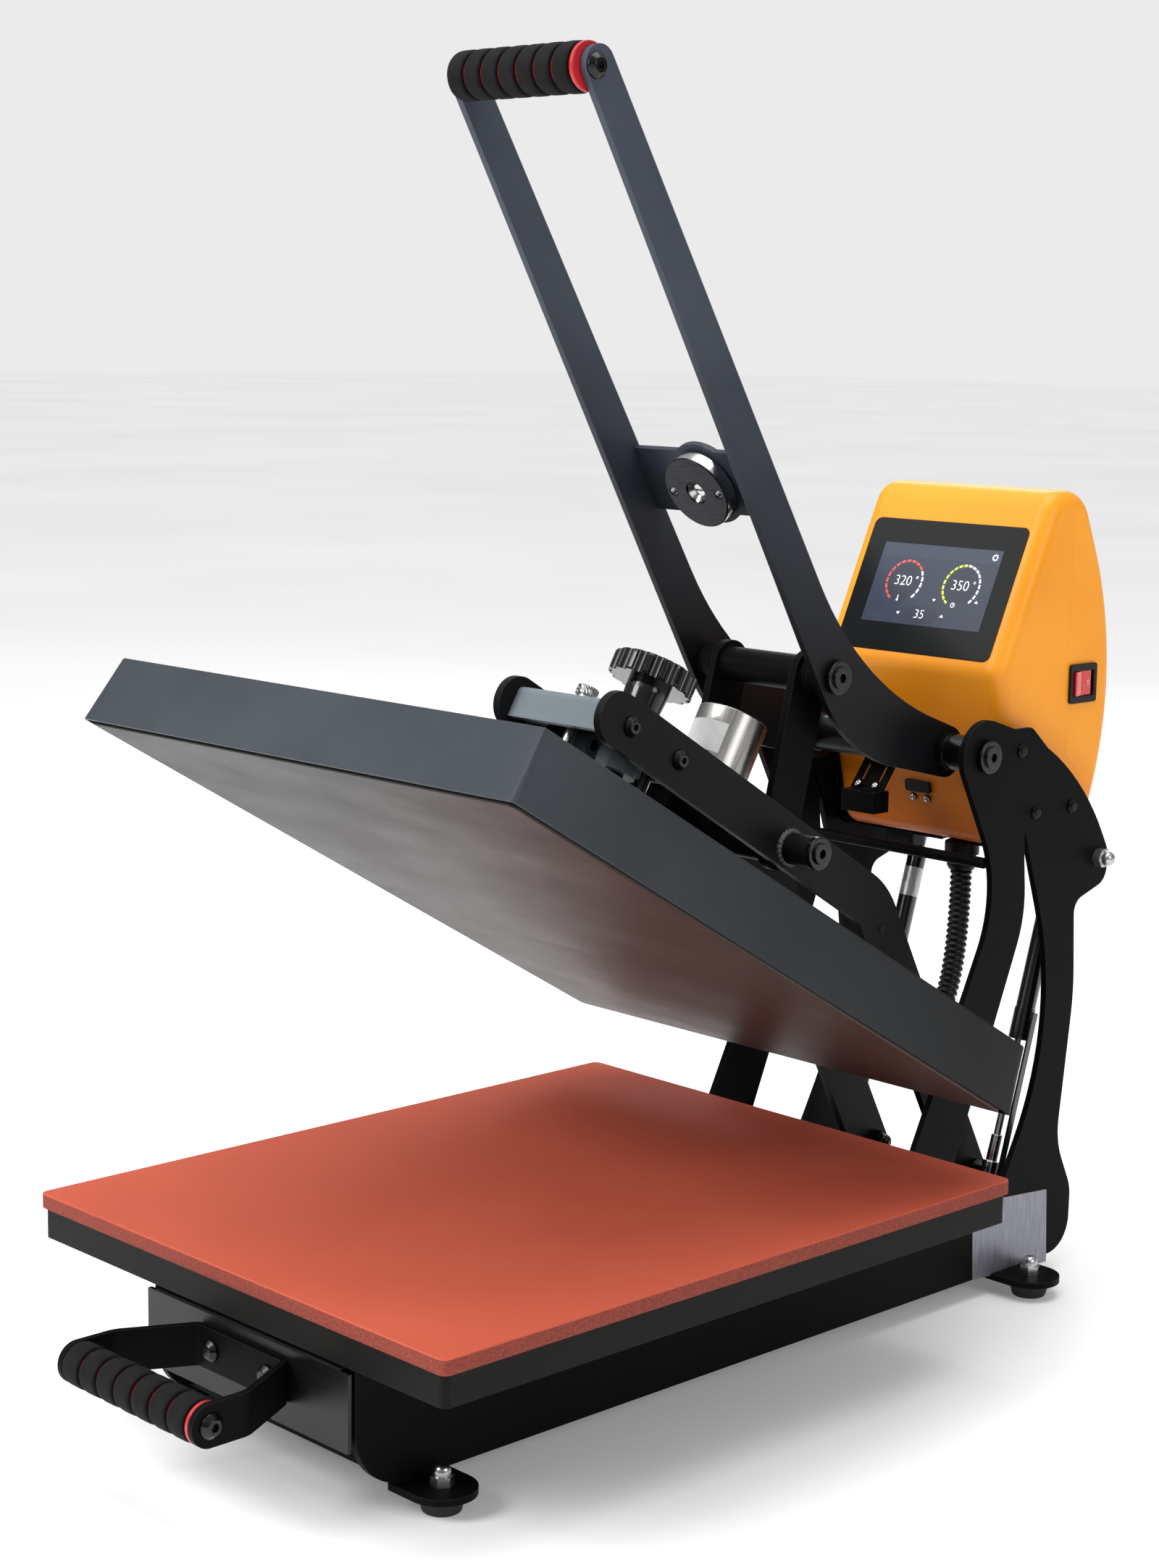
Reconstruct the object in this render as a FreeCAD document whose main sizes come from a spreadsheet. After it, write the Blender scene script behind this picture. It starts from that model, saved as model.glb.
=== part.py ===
import FreeCAD, Part
import math
import os
from FreeCAD import Placement, Rotation, Vector
import Sketcher

# Flat heat press: a clamshell with a slide-out lower platen. A lever and toggle links close it, an
# electromagnet holds it down, and two gas springs throw it open. It is drawn open, as it rests.
# The part frame has x to the operator's right, y rearwards and z up, with z = 0 on the table.
# Frame pieces are drawn from the pad: y back from its front edge, z up from its top face.
# Upper pieces are drawn closed: s back from the platen's centre, h up from its working face.

doc = FreeCAD.newDocument("heat_press")
sheet = doc.addObject("Spreadsheet::Sheet", "Sizes")

SIZES = {
    # Lower platen, pad and stance
    "pad_width": 406,
    "pad_depth": 508,
    "pad_thickness": 10,
    "pad_corner": 6,
    "pad_height": 135,
    "pad_setback": 345.5,
    "tray_inset": 2.5,
    "tray_thickness": 20,
    "tray_top": 4,
    "tray_wall": 3,
    "tray_rib": 8,
    "tray_gap": 9,
    # Feet
    "foot_height": 11,
    "foot_radius": 15,
    "foot_outset": 19,
    "foot_front": 71,
    "foot_rear": 643,
    "tab_thickness": 4.5,
    "tab_radius": 22,
    "foot_stud_radius": 4,
    # Side plates and base
    "frame_inside": 96,
    "frame_plate": 5,
    "frame_front": 20,
    "frame_back": 714,
    "floor_front": 42,
    "floor_back": 700,
    "floor_sheet": 3,
    "floor_height": 41,
    "cross_rod_radius": 4,
    "cross_rod_back": 602,
    "cross_rod_up": 190,
    # Pivots, from the pad datum
    "hinge_back": 592,
    "hinge_up": 60,
    "lever_back": 594,
    "lever_up": 268.5,
    "toggle_back": 473,
    "toggle_up": 330.5,
    "spring_back": 732,
    "spring_up": 179.5,
    "open_angle": 30,
    "lever_angle": 60,
    "shaft_radius": 8,
    "pin_radius": 7,
    "toggle_pin_radius": 6,
    "running_fit": 0.1,
    "side_gap": 0.3,
    "bush_radius": 13,
    "bush_groove": 1.2,
    "cap_radius": 12,
    "cap_thickness": 4.5,
    "head_radius": 8,
    "head_rise": 2,
    "socket_flats": 6,
    # Drawer
    "rail_length": 500,
    "rail_front": 30,
    "rail_height": 44,
    "rail_depth": 10,
    "rail_sheet": 2.2,
    "rail_play": 0.4,
    "moving_rail_length": 450,
    "carriage_half": 82.5,
    "carriage_sheet": 2.5,
    "carriage_back": 485,
    "carriage_drop": 45,
    "standoff_radius": 11,
    "standoff_half": 60,
    "standoff_front": 90,
    "standoff_back": 420,
    "face_front": 14.5,
    "face_sheet": 2.5,
    "face_height": 52,
    "face_lip": 23,
    "strap_thickness": 4,
    "strap_height": 27,
    "strap_drop": 62,
    "strap_root_half": 43,
    "strap_end_half": 67,
    "strap_splay": 46.5,
    "drawer_grip_reach": 75.5,
    "drawer_bolt_half": 28,
    "drawer_grip_radius": 14,
    # Upper arm
    "arm_inside": 45,
    "arm_plate": 6,
    "arm_leg_width": 38,
    "arm_slope": 31.8,
    "link_pivot_back": 133.1,
    "link_pivot_up": 118.5,
    "spring_foot_back": 455.4,
    "spring_foot_up": -7.7,
    "boss_radius": 11,
    "boss_length": 24,
    "channel_front": -68,
    "channel_back": 37.5,
    "channel_top": 137,
    "channel_sheet": 4,
    "channel_bolt_front": -50.3,
    "channel_bolt_back": 1.7,
    "channel_bolt_up": 125.6,
    "nut_radius": 15,
    "nut_bottom": 108,
    "magnet_radius": 25,
    "magnet_height": 50,
    "magnet_back": 86,
    "magnet_seat": 140,
    "magnet_plate": 6,
    # Heat platen and pressure screw
    "platen_width": 417,
    "platen_depth": 525.5,
    "platen_height": 48.6,
    "platen_draft": 6.2,
    "platen_corner": 4,
    "platen_gap": 0.4,
    "cover_sheet": 2,
    "cover_lift": 1.2,
    "hot_plate_thickness": 22,
    "hot_plate_margin": 2.4,
    "element_width": 16,
    "element_rise": 8,
    "insulation_thickness": 14,
    "guide_rod_radius": 4,
    "guide_rod_front": -51,
    "guide_rod_back": 29,
    "guide_head_radius": 7.5,
    "guide_head_height": 9,
    "spindle_radius": 7,
    "spindle_back": -1,
    "spindle_play": 0.1,
    "seat_radius": 22,
    "seat_height": 17,
    "knob_radius": 30,
    "knob_bottom": 172.8,
    "knob_thickness": 15,
    "knob_flutes": 16,
    "flute_radius": 4.4,
    "hub_radius": 15,
    "hub_bottom": 142,
    # Lever
    "lever_inside": 58,
    "lever_plate": 5,
    "grip_back": 237,
    "grip_up": 721,
    "grip_radius": 16,
    "grip_ring_wall": 3,
    "grip_rings": 7,
    "grip_groove": 2.4,
    "grip_core_radius": 8,
    "strike_ahead": 6.5,
    "strike_radius": 27,
    "strike_thickness": 10,
    "strike_spacer": 2,
    "strike_gap": 0.5,
    "strike_plate": 4,
    "strike_plate_height": 49,
    "strike_plate_rise": 1,
    "strike_boss_radius": 31,
    "link_inside": 35,
    "link_plate": 6,
    "link_radius": 17,
    "link_tube_radius": 12.5,
    # Gas springs
    "spring_half": 66.5,
    "cylinder_radius": 7.5,
    "cylinder_length": 146,
    "cylinder_bore": 6.2,
    "collar_radius": 8.1,
    "collar_length": 24,
    "rod_radius": 3,
    "piston_radius": 6.1,
    "piston_depth": 126,
    "neck_radius": 4.5,
    "neck_length": 20,
    "ball_radius": 5,
    "ball_play": 0.3,
    "ball_neck_radius": 2.4,
    "ball_socket_radius": 6.5,
    "guard_offset": 9.7,
    "guard_width": 5.5,
    "guard_sheet": 1.6,
    "guard_length": 262,
    # Control box
    "box_half": 85,
    "box_round": 12,
    "box_wall": 4,
    "box_side_wall": 7,
    "box_top": 452,
    "box_bottom": 190,
    "box_seam": 707,
    "bracket_sheet": 2.5,
    "glass_width": 145.4,
    "glass_height": 104.6,
    "glass_thickness": 2.6,
    "glass_seat": 1.8,
    "glass_back": 649.9,
    "glass_up": 377.6,
    "panel_angle": 64.9,
    "display_width": 112,
    "display_height": 63.5,
    "display_depth": 6,
    "display_rise": 1.3,
    "switch_back": 724,
    "switch_up": 309.5,
    "switch_width": 32,
    "switch_height": 29,
    "rocker_width": 24,
    "rocker_height": 18,
    "rocker_tilt": 8,
    # Conduit
    "conduit_radius": 8.25,
    "conduit_bore": 5.6,
    "conduit_valley": 6.9,
    "conduit_pitch": 3.6,
    "conduit_first_turn": 26,
    "conduit_second_turn": 79,
    "conduit_last_run": 70,
    "conduit_x": 20,
    "gland_back": 672,
    "gland_length": 24,
    "gland_radius": 11,
    "platen_gland_up": 25,
    "platen_gland_reach": 275,
}

for row, (name, value) in enumerate(SIZES.items(), start=1):
    sheet.set("A%d" % row, name)
    sheet.set("B%d" % row, str(value))
    sheet.setAlias("B%d" % row, name)
doc.recompute()


class SheetReader:
    """Reads a driving dimension from the sheet as a plain number."""

    def __getattr__(self, name):
        return float(sheet.get(name))


d = SheetReader()
nodes = []

X_AXIS = Vector(1, 0, 0)
AXES = {
    "x": Rotation(Vector(0, 0, 1), -90),
    "y": Rotation(),
    "z": Rotation(X_AXIS, 90),
}
PLANES = {"plan": "XY_Plane", "front": "XZ_Plane", "side": "YZ_Plane"}

# Heights of the stack below the pad, from the pad's top face
table_z = -d.pad_height
tray_top_z = -d.pad_thickness
tray_bottom_z = tray_top_z - d.tray_thickness
base_top_z = tray_bottom_z - d.tray_gap
tab_bottom_z = table_z + d.foot_height
plate_bottom_z = tab_bottom_z + d.tab_thickness
floor_top_z = table_z + d.floor_height
face_bottom_z = base_top_z - d.face_height
frame_outside = d.frame_inside + d.frame_plate
arm_outside = d.arm_inside + d.arm_plate
lever_outside = d.lever_inside + d.lever_plate
link_outside = d.link_inside + d.link_plate
shaft_hole = d.shaft_radius + d.running_fit
pin_hole = d.pin_radius + d.running_fit

# Datum of the frame pieces, and the frames of the parts that swing on it
datum = Placement(Vector(0, -d.pad_setback, d.pad_height), Rotation())
closed_centre = Vector(0, d.pad_depth / 2, d.platen_gap)
hinge_point = Vector(0, d.hinge_back, d.hinge_up)
lever_point = Vector(0, d.lever_back, d.lever_up)
toggle_point = Vector(0, d.toggle_back, d.toggle_up)
spring_point = Vector(0, d.spring_back, d.spring_up)
opening = Placement(Vector(), Rotation(X_AXIS, -d.open_angle), hinge_point)
lever_opening = Placement(Vector(), Rotation(X_AXIS, -d.lever_angle), lever_point)
upper = datum * opening * Placement(closed_centre, Rotation())


def opened(s, h):
    """Where a point of the upper parts lies when the press is open, from the pad datum."""
    return opening.multVec(Vector(0, s, h) + closed_centre)


def along(start, end):
    """Frame at start whose z axis points to end, for pieces that lie in a side plane."""
    run = end - start
    tilt = math.degrees(math.atan2(-run.y, run.z))
    return datum * Placement(start, Rotation(X_AXIS, tilt))


def new_body(label, place=datum):
    body = doc.addObject("PartDesign::Body", label)
    body.Label = label
    body.Placement = place
    nodes.append(body)
    return body


def rounded(corners):
    """Closed outline through corners (u, v) or (u, v, radius), rounded by tangent arcs."""
    points = [Vector(corner[0], corner[1], 0) for corner in corners]
    radii = [corner[2] if len(corner) == 3 else 0 for corner in corners]
    arcs = []
    for index, point in enumerate(points):
        before = (points[index - 1] - point).normalize()
        after = (points[(index + 1) % len(points)] - point).normalize()
        half = before.getAngle(after) / 2
        reach = radii[index] / math.tan(half)
        middle = point
        if radii[index]:
            inward = (before + after).normalize()
            middle = point + inward * (radii[index] / math.sin(half) - radii[index])
        arcs.append((point + before * reach, middle, point + after * reach))
    edges = []
    for index, (start, middle, end) in enumerate(arcs):
        if radii[index]:
            edges.append(Part.Arc(start, middle, end))
        onward = arcs[(index + 1) % len(arcs)][0]
        if end.distanceToPoint(onward) > 1e-6:
            edges.append(Part.LineSegment(end, onward))
    return edges


def offset_line(start, end, distance):
    """The line from start to end moved to its left by distance, as a point and a direction."""
    run = Vector(end[0] - start[0], end[1] - start[1], 0).normalize()
    return Vector(start[0] - run.y * distance, start[1] + run.x * distance, 0), run


def crossing(first, second):
    """Where two lines, each a point and a direction, cross."""
    (point, run), (other, course) = first, second
    span = run.x * course.y - run.y * course.x
    gap = other - point
    return point + run * ((gap.x * course.y - gap.y * course.x) / span)


def inset(corners, wall):
    """A counter-clockwise outline moved inwards by wall."""
    count = len(corners)
    moved = []
    for index, corner in enumerate(corners):
        before = offset_line(corners[index - 1], corner, wall)
        after = offset_line(corner, corners[(index + 1) % count], wall)
        point = crossing(before, after)
        moved.append((point.x, point.y, max(corner[2] - wall, 0.5)))
    return moved


def strip(path, thickness):
    """Outline of a bent sheet seen on edge, from the bends (u, v, radius) of its centre line."""
    outline = []
    for side in (1, -1):
        points = path if side == 1 else path[::-1]
        for index, point in enumerate(points):
            legs = []
            if index > 0:
                legs.append(offset_line(points[index - 1], point, -thickness / 2))
            if index < len(points) - 1:
                legs.append(offset_line(point, points[index + 1], -thickness / 2))
            if len(legs) == 1:
                place = offset_end(legs[0], point)
                outline.append((place.x, place.y))
            else:
                place = crossing(legs[0], legs[1])
                course = legs[0][1].x * legs[1][1].y - legs[0][1].y * legs[1][1].x
                swell = thickness / 2 if course > 0 else -thickness / 2
                outline.append((place.x, place.y, max(point[2] + swell, 0.3)))
    return outline


def offset_end(leg, point):
    """The point of an offset line that lies square across from a point of the centre line."""
    origin, run = leg
    gap = Vector(point[0], point[1], 0) - origin
    return origin + run * gap.dot(run)


def box(low_u, high_u, low_v, high_v, radius=0):
    corners = [(low_u, low_v), (high_u, low_v), (high_u, high_v), (low_u, high_v)]
    if radius:
        return [(u, v, radius) for u, v in corners]
    return corners


def hexagon(u, v, flats):
    reach = flats / math.sqrt(3)
    turns = [math.radians(60 * side) for side in range(6)]
    return [(u + reach * math.cos(turn), v + reach * math.sin(turn)) for turn in turns]


def draw(body, plane, start, outlines, circles):
    """A sketch on an origin plane of the body, or in a frame given in the body."""
    sketch = body.newObject("Sketcher::SketchObject", body.Label + "_sketch")
    role = PLANES.get(plane, "XY_Plane") if isinstance(plane, str) else "XY_Plane"
    origin_plane = next(item for item in body.Origin.OriginFeatures if item.Role == role)
    sketch.AttachmentSupport = [(origin_plane, "")]
    sketch.MapMode = "FlatFace"
    if isinstance(plane, str):
        rise = -start if plane == "front" else start
        sketch.AttachmentOffset = Placement(Vector(0, 0, rise), Rotation())
    else:
        sketch.AttachmentOffset = plane * Placement(Vector(0, 0, start), Rotation())
    for outline in outlines:
        first = sketch.GeometryCount
        edges = rounded(outline)
        sketch.addGeometry(edges, False)
        join_ends(sketch, first, first + len(edges))
    for u, v, radius in circles:
        index = sketch.addGeometry(Part.Circle(Vector(u, v, 0), Vector(0, 0, 1), radius), False)
        sketch.addConstraint(Sketcher.Constraint("Radius", index, radius))
    return sketch


def join_ends(sketch, first, last):
    """Coincident constraints between the neighbouring edges of one outline."""
    for edge in range(first, last):
        following = edge + 1 if edge + 1 < last else first
        for end in (1, 2):
            for start in (1, 2):
                gap = sketch.getPoint(edge, end) - sketch.getPoint(following, start)
                if gap.Length < 1e-6:
                    joint = Sketcher.Constraint("Coincident", edge, end, following, start)
                    sketch.addConstraint(joint)


def bind(feature, name, size):
    """Sets a size of a feature: a text is a formula over the sheet, a number is used as it is."""
    if isinstance(size, str):
        feature.setExpression(name, size)
    else:
        setattr(feature, name, size)


def pad(body, plane, start, length, outlines=(), circles=()):
    """Material from start onwards, along the positive normal of the plane."""
    feature = body.newObject("PartDesign::Pad", body.Label + "_pad")
    feature.Profile = draw(body, plane, start, outlines, circles)
    feature.Reversed = plane == "front"
    bind(feature, "Length", length)
    return feature


def cut(body, plane, start, length, outlines=(), circles=()):
    """A pocket from start onwards, along the positive normal of the plane."""
    feature = body.newObject("PartDesign::Pocket", body.Label + "_pocket")
    feature.Profile = draw(body, plane, start, outlines, circles)
    feature.Reversed = plane != "front"
    bind(feature, "Length", length)
    return feature


def turn(body, axis, centre, outline, groove=False):
    """A turned form about an axis through centre: outline is radius, then place along it."""
    kind = "PartDesign::Groove" if groove else "PartDesign::Revolution"
    frame = Placement(Vector(*centre), AXES[axis])
    feature = body.newObject(kind, body.Label + "_turned")
    sketch = draw(body, frame, 0, [outline], ())
    feature.Profile = sketch
    feature.ReferenceAxis = (sketch, ["V_Axis"])
    feature.Angle = 360
    return feature


def fillet(body, radius, wanted):
    """Rounds the edges of the body's last feature for which wanted is true."""
    doc.recompute()
    base = body.Tip
    names = []
    for index, edge in enumerate(base.Shape.Edges, start=1):
        if wanted(edge):
            names.append("Edge%d" % index)
    feature = body.newObject("PartDesign::Fillet", body.Label + "_fillet")
    feature.Base = (base, names)
    bind(feature, "Radius", radius)
    return feature


def mirrored(points, side):
    """Turned outlines and plan outlines for the left side run the other way."""
    return [(u, v * side) + tuple(rest) for u, v, *rest in points]


def span(side, inner, thickness):
    """Where a plate that lies between inner and inner + thickness starts along x."""
    return inner if side > 0 else -inner - thickness


# Fastener outlines, each as radius and place along the axis, outwards from the face it sits on

def button_head(radius, height):
    return [(0, 0), (radius, 0), (radius, height * 0.3, 0.6), (radius * 0.6, height, 1.2), (0, height)]


def pivot_cap(radius, thickness, head, rise):
    return [(0, 0), (radius, 0), (radius, thickness, 1), (head, thickness), (head, thickness + rise, 0.6),
            (0, thickness + rise)]


def ringed_sleeve(bore, radius, start, end, groove):
    """A spacer sleeve with a groove near each end."""
    land = (end - start) / 5
    return [(bore, start), (radius, start, 0.6), (radius, start + land), (radius - groove, start + land),
            (radius - groove, start + 1.6 * land), (radius, start + 1.6 * land),
            (radius, end - 1.6 * land), (radius - groove, end - 1.6 * land),
            (radius - groove, end - land), (radius, end - land), (radius, end, 0.6), (bore, end)]


def shifted(outline, start):
    return [(point[0], point[1] + start) + tuple(point[2:]) for point in outline]


# Frame

def side_plate_outline():
    """Ear for the lever shaft, back curve to the gas spring lug, waist, base rail and front branch."""
    back = d.frame_back
    return [
        (d.frame_front, plate_bottom_z, 40),
        (back, plate_bottom_z, 25),
        (back + 1, base_top_z - 33, 30),
        (back - 19, base_top_z + 7, 55),
        (back - 5, d.hinge_up + 20, 200),
        (d.spring_back - 27.5, d.spring_up - 30.5, 12),
        (d.spring_back + 11, d.spring_up - 18.5, 14),
        (d.spring_back + 12.6, d.spring_up + 3.5, 20),
        (d.spring_back - 33, d.spring_up + 82, 195),
        (d.lever_back - 53, d.lever_up + 44.5, 26),
        (d.hinge_back + 25.4, d.hinge_up + 109, 92),
        (d.hinge_back - 78.4, base_top_z, 25),
        (d.frame_front, base_top_z, 4),
    ]


def slit_outline():
    """Crescent opening between the front and the rear branch."""
    return [
        (d.hinge_back + 48, d.hinge_up + 156, 1.2),
        (d.hinge_back + 54, d.hinge_up + 86, 90),
        (d.hinge_back - 35.6, d.hinge_up - 126, 14),
        (d.hinge_back + 33.4, d.hinge_up - 126, 14),
        (d.hinge_back + 101.8, d.hinge_up + 0.7, 212),
    ]


BOX_SCREWS = ((634, 269), (653, 222), (696, 222))
FOOT_PLACES = [(side, y) for side in (-1, 1) for y in (d.foot_front, d.foot_rear)]


def side_plate(side):
    body = new_body("side_plate_right" if side > 0 else "side_plate_left")
    start = span(side, d.frame_inside, d.frame_plate)
    holes = [
        (d.lever_back, d.lever_up, shaft_hole),
        (d.hinge_back, d.hinge_up, shaft_hole),
        (d.spring_back, d.spring_up, d.foot_stud_radius + d.running_fit),
    ]
    holes += [(y, z, 2.6) for y, z in BOX_SCREWS]
    pad(body, "side", start, "Sizes.frame_plate", [side_plate_outline(), slit_outline()], holes)
    reach = frame_outside + d.foot_outset
    for y in (d.foot_front, d.foot_rear):
        outer = (reach + d.tab_radius) * side
        tab = [
            (d.frame_inside * side, y - d.tab_radius),
            (outer, y - d.tab_radius, d.tab_radius - 0.2),
            (outer, y + d.tab_radius, d.tab_radius - 0.2),
            (d.frame_inside * side, y + d.tab_radius),
        ]
        hole = (reach * side, y, d.foot_stud_radius + 0.3)
        pad(body, "plan", tab_bottom_z, "Sizes.tab_thickness", [tab], [hole])


def base_floor():
    """Channel-shaped sheet that ties the side plates together under the drawer."""
    body = new_body("base_floor")
    half = d.floor_sheet / 2
    path = [
        (d.floor_front + half, floor_top_z - 18, 0),
        (d.floor_front + half, floor_top_z - half, 3),
        (d.floor_back - half, floor_top_z - half, 3),
        (d.floor_back - half, floor_top_z - 18, 0),
    ]
    outline = strip(path, d.floor_sheet)
    pad(body, "side", -d.frame_inside, "2 * Sizes.frame_inside", [outline])


def cross_rod():
    body = new_body("cross_rod")
    place = (d.cross_rod_back, d.cross_rod_up, d.cross_rod_radius)
    pad(body, "side", -d.frame_inside, "2 * Sizes.frame_inside", circles=[place])


def rail_outline(side, web, lip, low, high):
    """Channel rail seen from the front: web against its carrier, lips towards its mate."""
    inner = web - math.copysign(d.rail_sheet, web - lip)
    points = [(web, low), (lip, low), (lip, low + d.rail_sheet), (inner, low + d.rail_sheet),
              (inner, high - d.rail_sheet), (lip, high - d.rail_sheet), (lip, high), (web, high)]
    return [(x * side, z) for x, z in points]


def drawer_rails():
    """Fixed channels on the side plates, and the channels of the carriage that run inside them."""
    low = base_top_z - 5 - d.rail_height
    high = base_top_z - 5
    play = d.rail_sheet + d.rail_play
    fixed = new_body("fixed_rails")
    moving = new_body("moving_rails")
    for side in (-1, 1):
        outline = rail_outline(side, d.frame_inside, d.frame_inside - d.rail_depth, low, high)
        pad(fixed, "front", d.rail_front, "Sizes.rail_length", [outline])
        lip = d.frame_inside - d.rail_sheet - d.rail_play - 2
        outline = rail_outline(side, d.carriage_half, lip, low + play, high - play)
        pad(moving, "front", d.rail_front, "Sizes.moving_rail_length", [outline])


def feet():
    rubber = new_body("rubber_feet")
    bolts = new_body("foot_bolts")
    reach = frame_outside + d.foot_outset
    stud = d.foot_stud_radius
    nut_z = plate_bottom_z
    for side, y in FOOT_PLACES:
        r = d.foot_radius
        profile = [(0, 0), (r - 3, 0, 1.5), (r, d.foot_height, 2), (0, d.foot_height)]
        turn(rubber, "z", (reach * side, y, table_z), profile)
        rise = d.tab_thickness
        bolt = [(0, 0), (stud, 0), (stud, rise), (6, rise), (6, rise + 7), (5.6, rise + 7),
                (5.6, rise + 14, 5), (0, rise + 14)]
        turn(bolts, "z", (reach * side, y, tab_bottom_z), bolt)
        pad(bolts, "plan", nut_z, 6.5, [hexagon(reach * side, y, 13)])


def pivot_shafts():
    """Lever shaft and main hinge shaft: each with caps outside and spacer sleeves inside."""
    inner_places = {"handle_shaft": (lever_point, lever_outside), "hinge_shaft": (hinge_point, arm_outside)}
    for label, (point, inner) in inner_places.items():
        body = new_body(label)
        r = d.shaft_radius
        pad(body, "side", -frame_outside, 2 * frame_outside, circles=[(point.y, point.z, r)])
        for side in (-1, 1):
            cap = shifted(pivot_cap(d.cap_radius, d.cap_thickness, d.head_radius, d.head_rise), frame_outside)
            turn(body, "x", point, mirrored(cap, side))
            socket = hexagon(point.y, point.z, d.socket_flats)
            depth = d.head_rise + 2
            top = frame_outside + d.cap_thickness + d.head_rise
            cut(body, "side", span(side, top - depth, depth), depth, [socket])
            sleeve = ringed_sleeve(shaft_hole, d.bush_radius, inner + d.side_gap, d.frame_inside - 0.1,
                                   d.bush_groove)
            turn(body, "x", point, mirrored(sleeve, side))


def frame_fasteners():
    """Box screws, and the gas springs' top ball studs with their acorn nuts."""
    body = new_body("frame_fasteners")
    for side in (-1, 1):
        for y, z in BOX_SCREWS:
            screw = [(0, -10), (2.5, -10), (2.5, 0)] + button_head(5, 3)[1:]
            turn(body, "x", (0, y, z), mirrored(shifted(screw, frame_outside), side))
        ball_stud(body, spring_point, side, frame_outside, d.frame_inside, -1, True)


def ball_stud(body, point, side, nut_face, collar_face, inwards, with_ball):
    """Stud through a plate: acorn nut on one face, hex collar and neck towards the ball on the other."""
    out = -inwards
    stud = d.foot_stud_radius
    ball = d.ball_radius
    neck = d.ball_neck_radius
    collar = collar_face + inwards * 4
    near_ball = d.spring_half - inwards * math.sqrt(ball ** 2 - neck ** 2)
    profile = [(0, nut_face + out * 14)]
    if with_ball:
        profile += [(0, d.spring_half + inwards * ball), (ball, d.spring_half + inwards * ball, ball * 0.97),
                    (ball, near_ball - inwards * 1.2, 1.5), (neck, near_ball - inwards * 2.5)]
    else:
        profile += [(0, near_ball - inwards * d.ball_play), (neck, near_ball - inwards * d.ball_play)]
    profile += [(neck, collar), (6.2, collar), (6.2, collar_face), (stud, collar_face), (stud, nut_face),
                (6, nut_face), (6, nut_face + out * 6.5), (5.6, nut_face + out * 6.5),
                (5.6, nut_face + out * 14, 5)]
    turn(body, "x", point, mirrored(profile, side))
    start = nut_face if out > 0 else nut_face - 6.5
    pad(body, "side", span(side, start, 6.5), 6.5, [hexagon(point.y, point.z, 13)])


# Control box

def box_profile():
    """Side view of the control box: bottom, curved back, top, sloping panel, nose, lower front."""
    return [
        (654.5, d.box_bottom, 14),
        (735.5, d.box_bottom, 20),
        (784.7, 311.6, 255),
        (723.5, d.box_top, 28),
        (684.5, d.box_top, 22),
        (624.4, 324, 18),
    ]


panel = Placement(Vector(0, d.glass_back, d.glass_up), Rotation(X_AXIS, d.panel_angle))


def box_shell(label):
    """Moulded shell with rounded sides, hollow inside."""
    body = new_body(label)
    pad(body, "side", -d.box_half, "2 * Sizes.box_half", [box_profile()])
    fillet(body, "Sizes.box_round", lambda edge: abs(abs(edge.CenterOfMass.x) - d.box_half) < 0.01)
    hollow = inset(box_profile(), d.box_wall)
    inner = d.box_half - d.box_side_wall
    cut(body, "side", -inner, 2 * inner, [hollow])
    return body


def seam_outline(front):
    """Cuts away the other shell: the seam drops down the side, then runs back under the curve."""
    far = 900 if front else 500
    return [(d.box_seam, 500), (d.box_seam, 258), (d.box_seam + 16, 243), (d.box_seam + 80, 183),
            (far, 150 if front else 183), (far, 500)]


def control_box():
    front = box_shell("box_front_shell")
    width = 2 * d.box_half + 2
    cut(front, "side", -d.box_half - 1, width, [seam_outline(True)])
    play = 0.2
    half_wide = d.glass_width / 2 + play
    half_high = d.glass_height / 2 + play
    recess = box(-half_wide, half_wide, -half_high, half_high, 6)
    cut(front, panel, -d.glass_seat, d.glass_seat + 3, [recess])
    half_wide = d.display_width / 2 + 1
    rise = d.display_rise
    window = box(-half_wide, half_wide, rise - d.display_height / 2 - 1, rise + d.display_height / 2 + 1, 2)
    cut(front, panel, -12, 12, [window])
    cut(front, "plan", d.box_bottom - 1, 6, circles=[(d.conduit_x, d.gland_back, d.gland_radius - 3)])
    rear = box_shell("box_rear_shell")
    keep = [(400, 150), (900, 150), (d.box_seam + 80, 183), (d.box_seam + 16, 243), (d.box_seam, 258),
            (d.box_seam, 500), (400, 500)]
    cut(rear, "side", -d.box_half - 1, width, [keep])
    opening_box = box(d.switch_back - d.rocker_width / 2 - 3, d.switch_back + d.rocker_width / 2 + 3,
                      d.switch_up - d.rocker_height / 2 - 3, d.switch_up + d.rocker_height / 2 + 3, 1)
    cut(rear, "side", d.box_half - 20, 30, [opening_box])


def screen():
    glass = new_body("screen_glass")
    outline = box(-d.glass_width / 2, d.glass_width / 2, -d.glass_height / 2, d.glass_height / 2, 6)
    pad(glass, panel, -d.glass_seat, "Sizes.glass_thickness", [outline])
    display = new_body("display")
    rise = d.display_rise
    outline = box(-d.display_width / 2, d.display_width / 2, rise - d.display_height / 2,
                  rise + d.display_height / 2, 1)
    pad(display, panel, -d.glass_seat - d.display_depth, "Sizes.display_depth", [outline])


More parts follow.
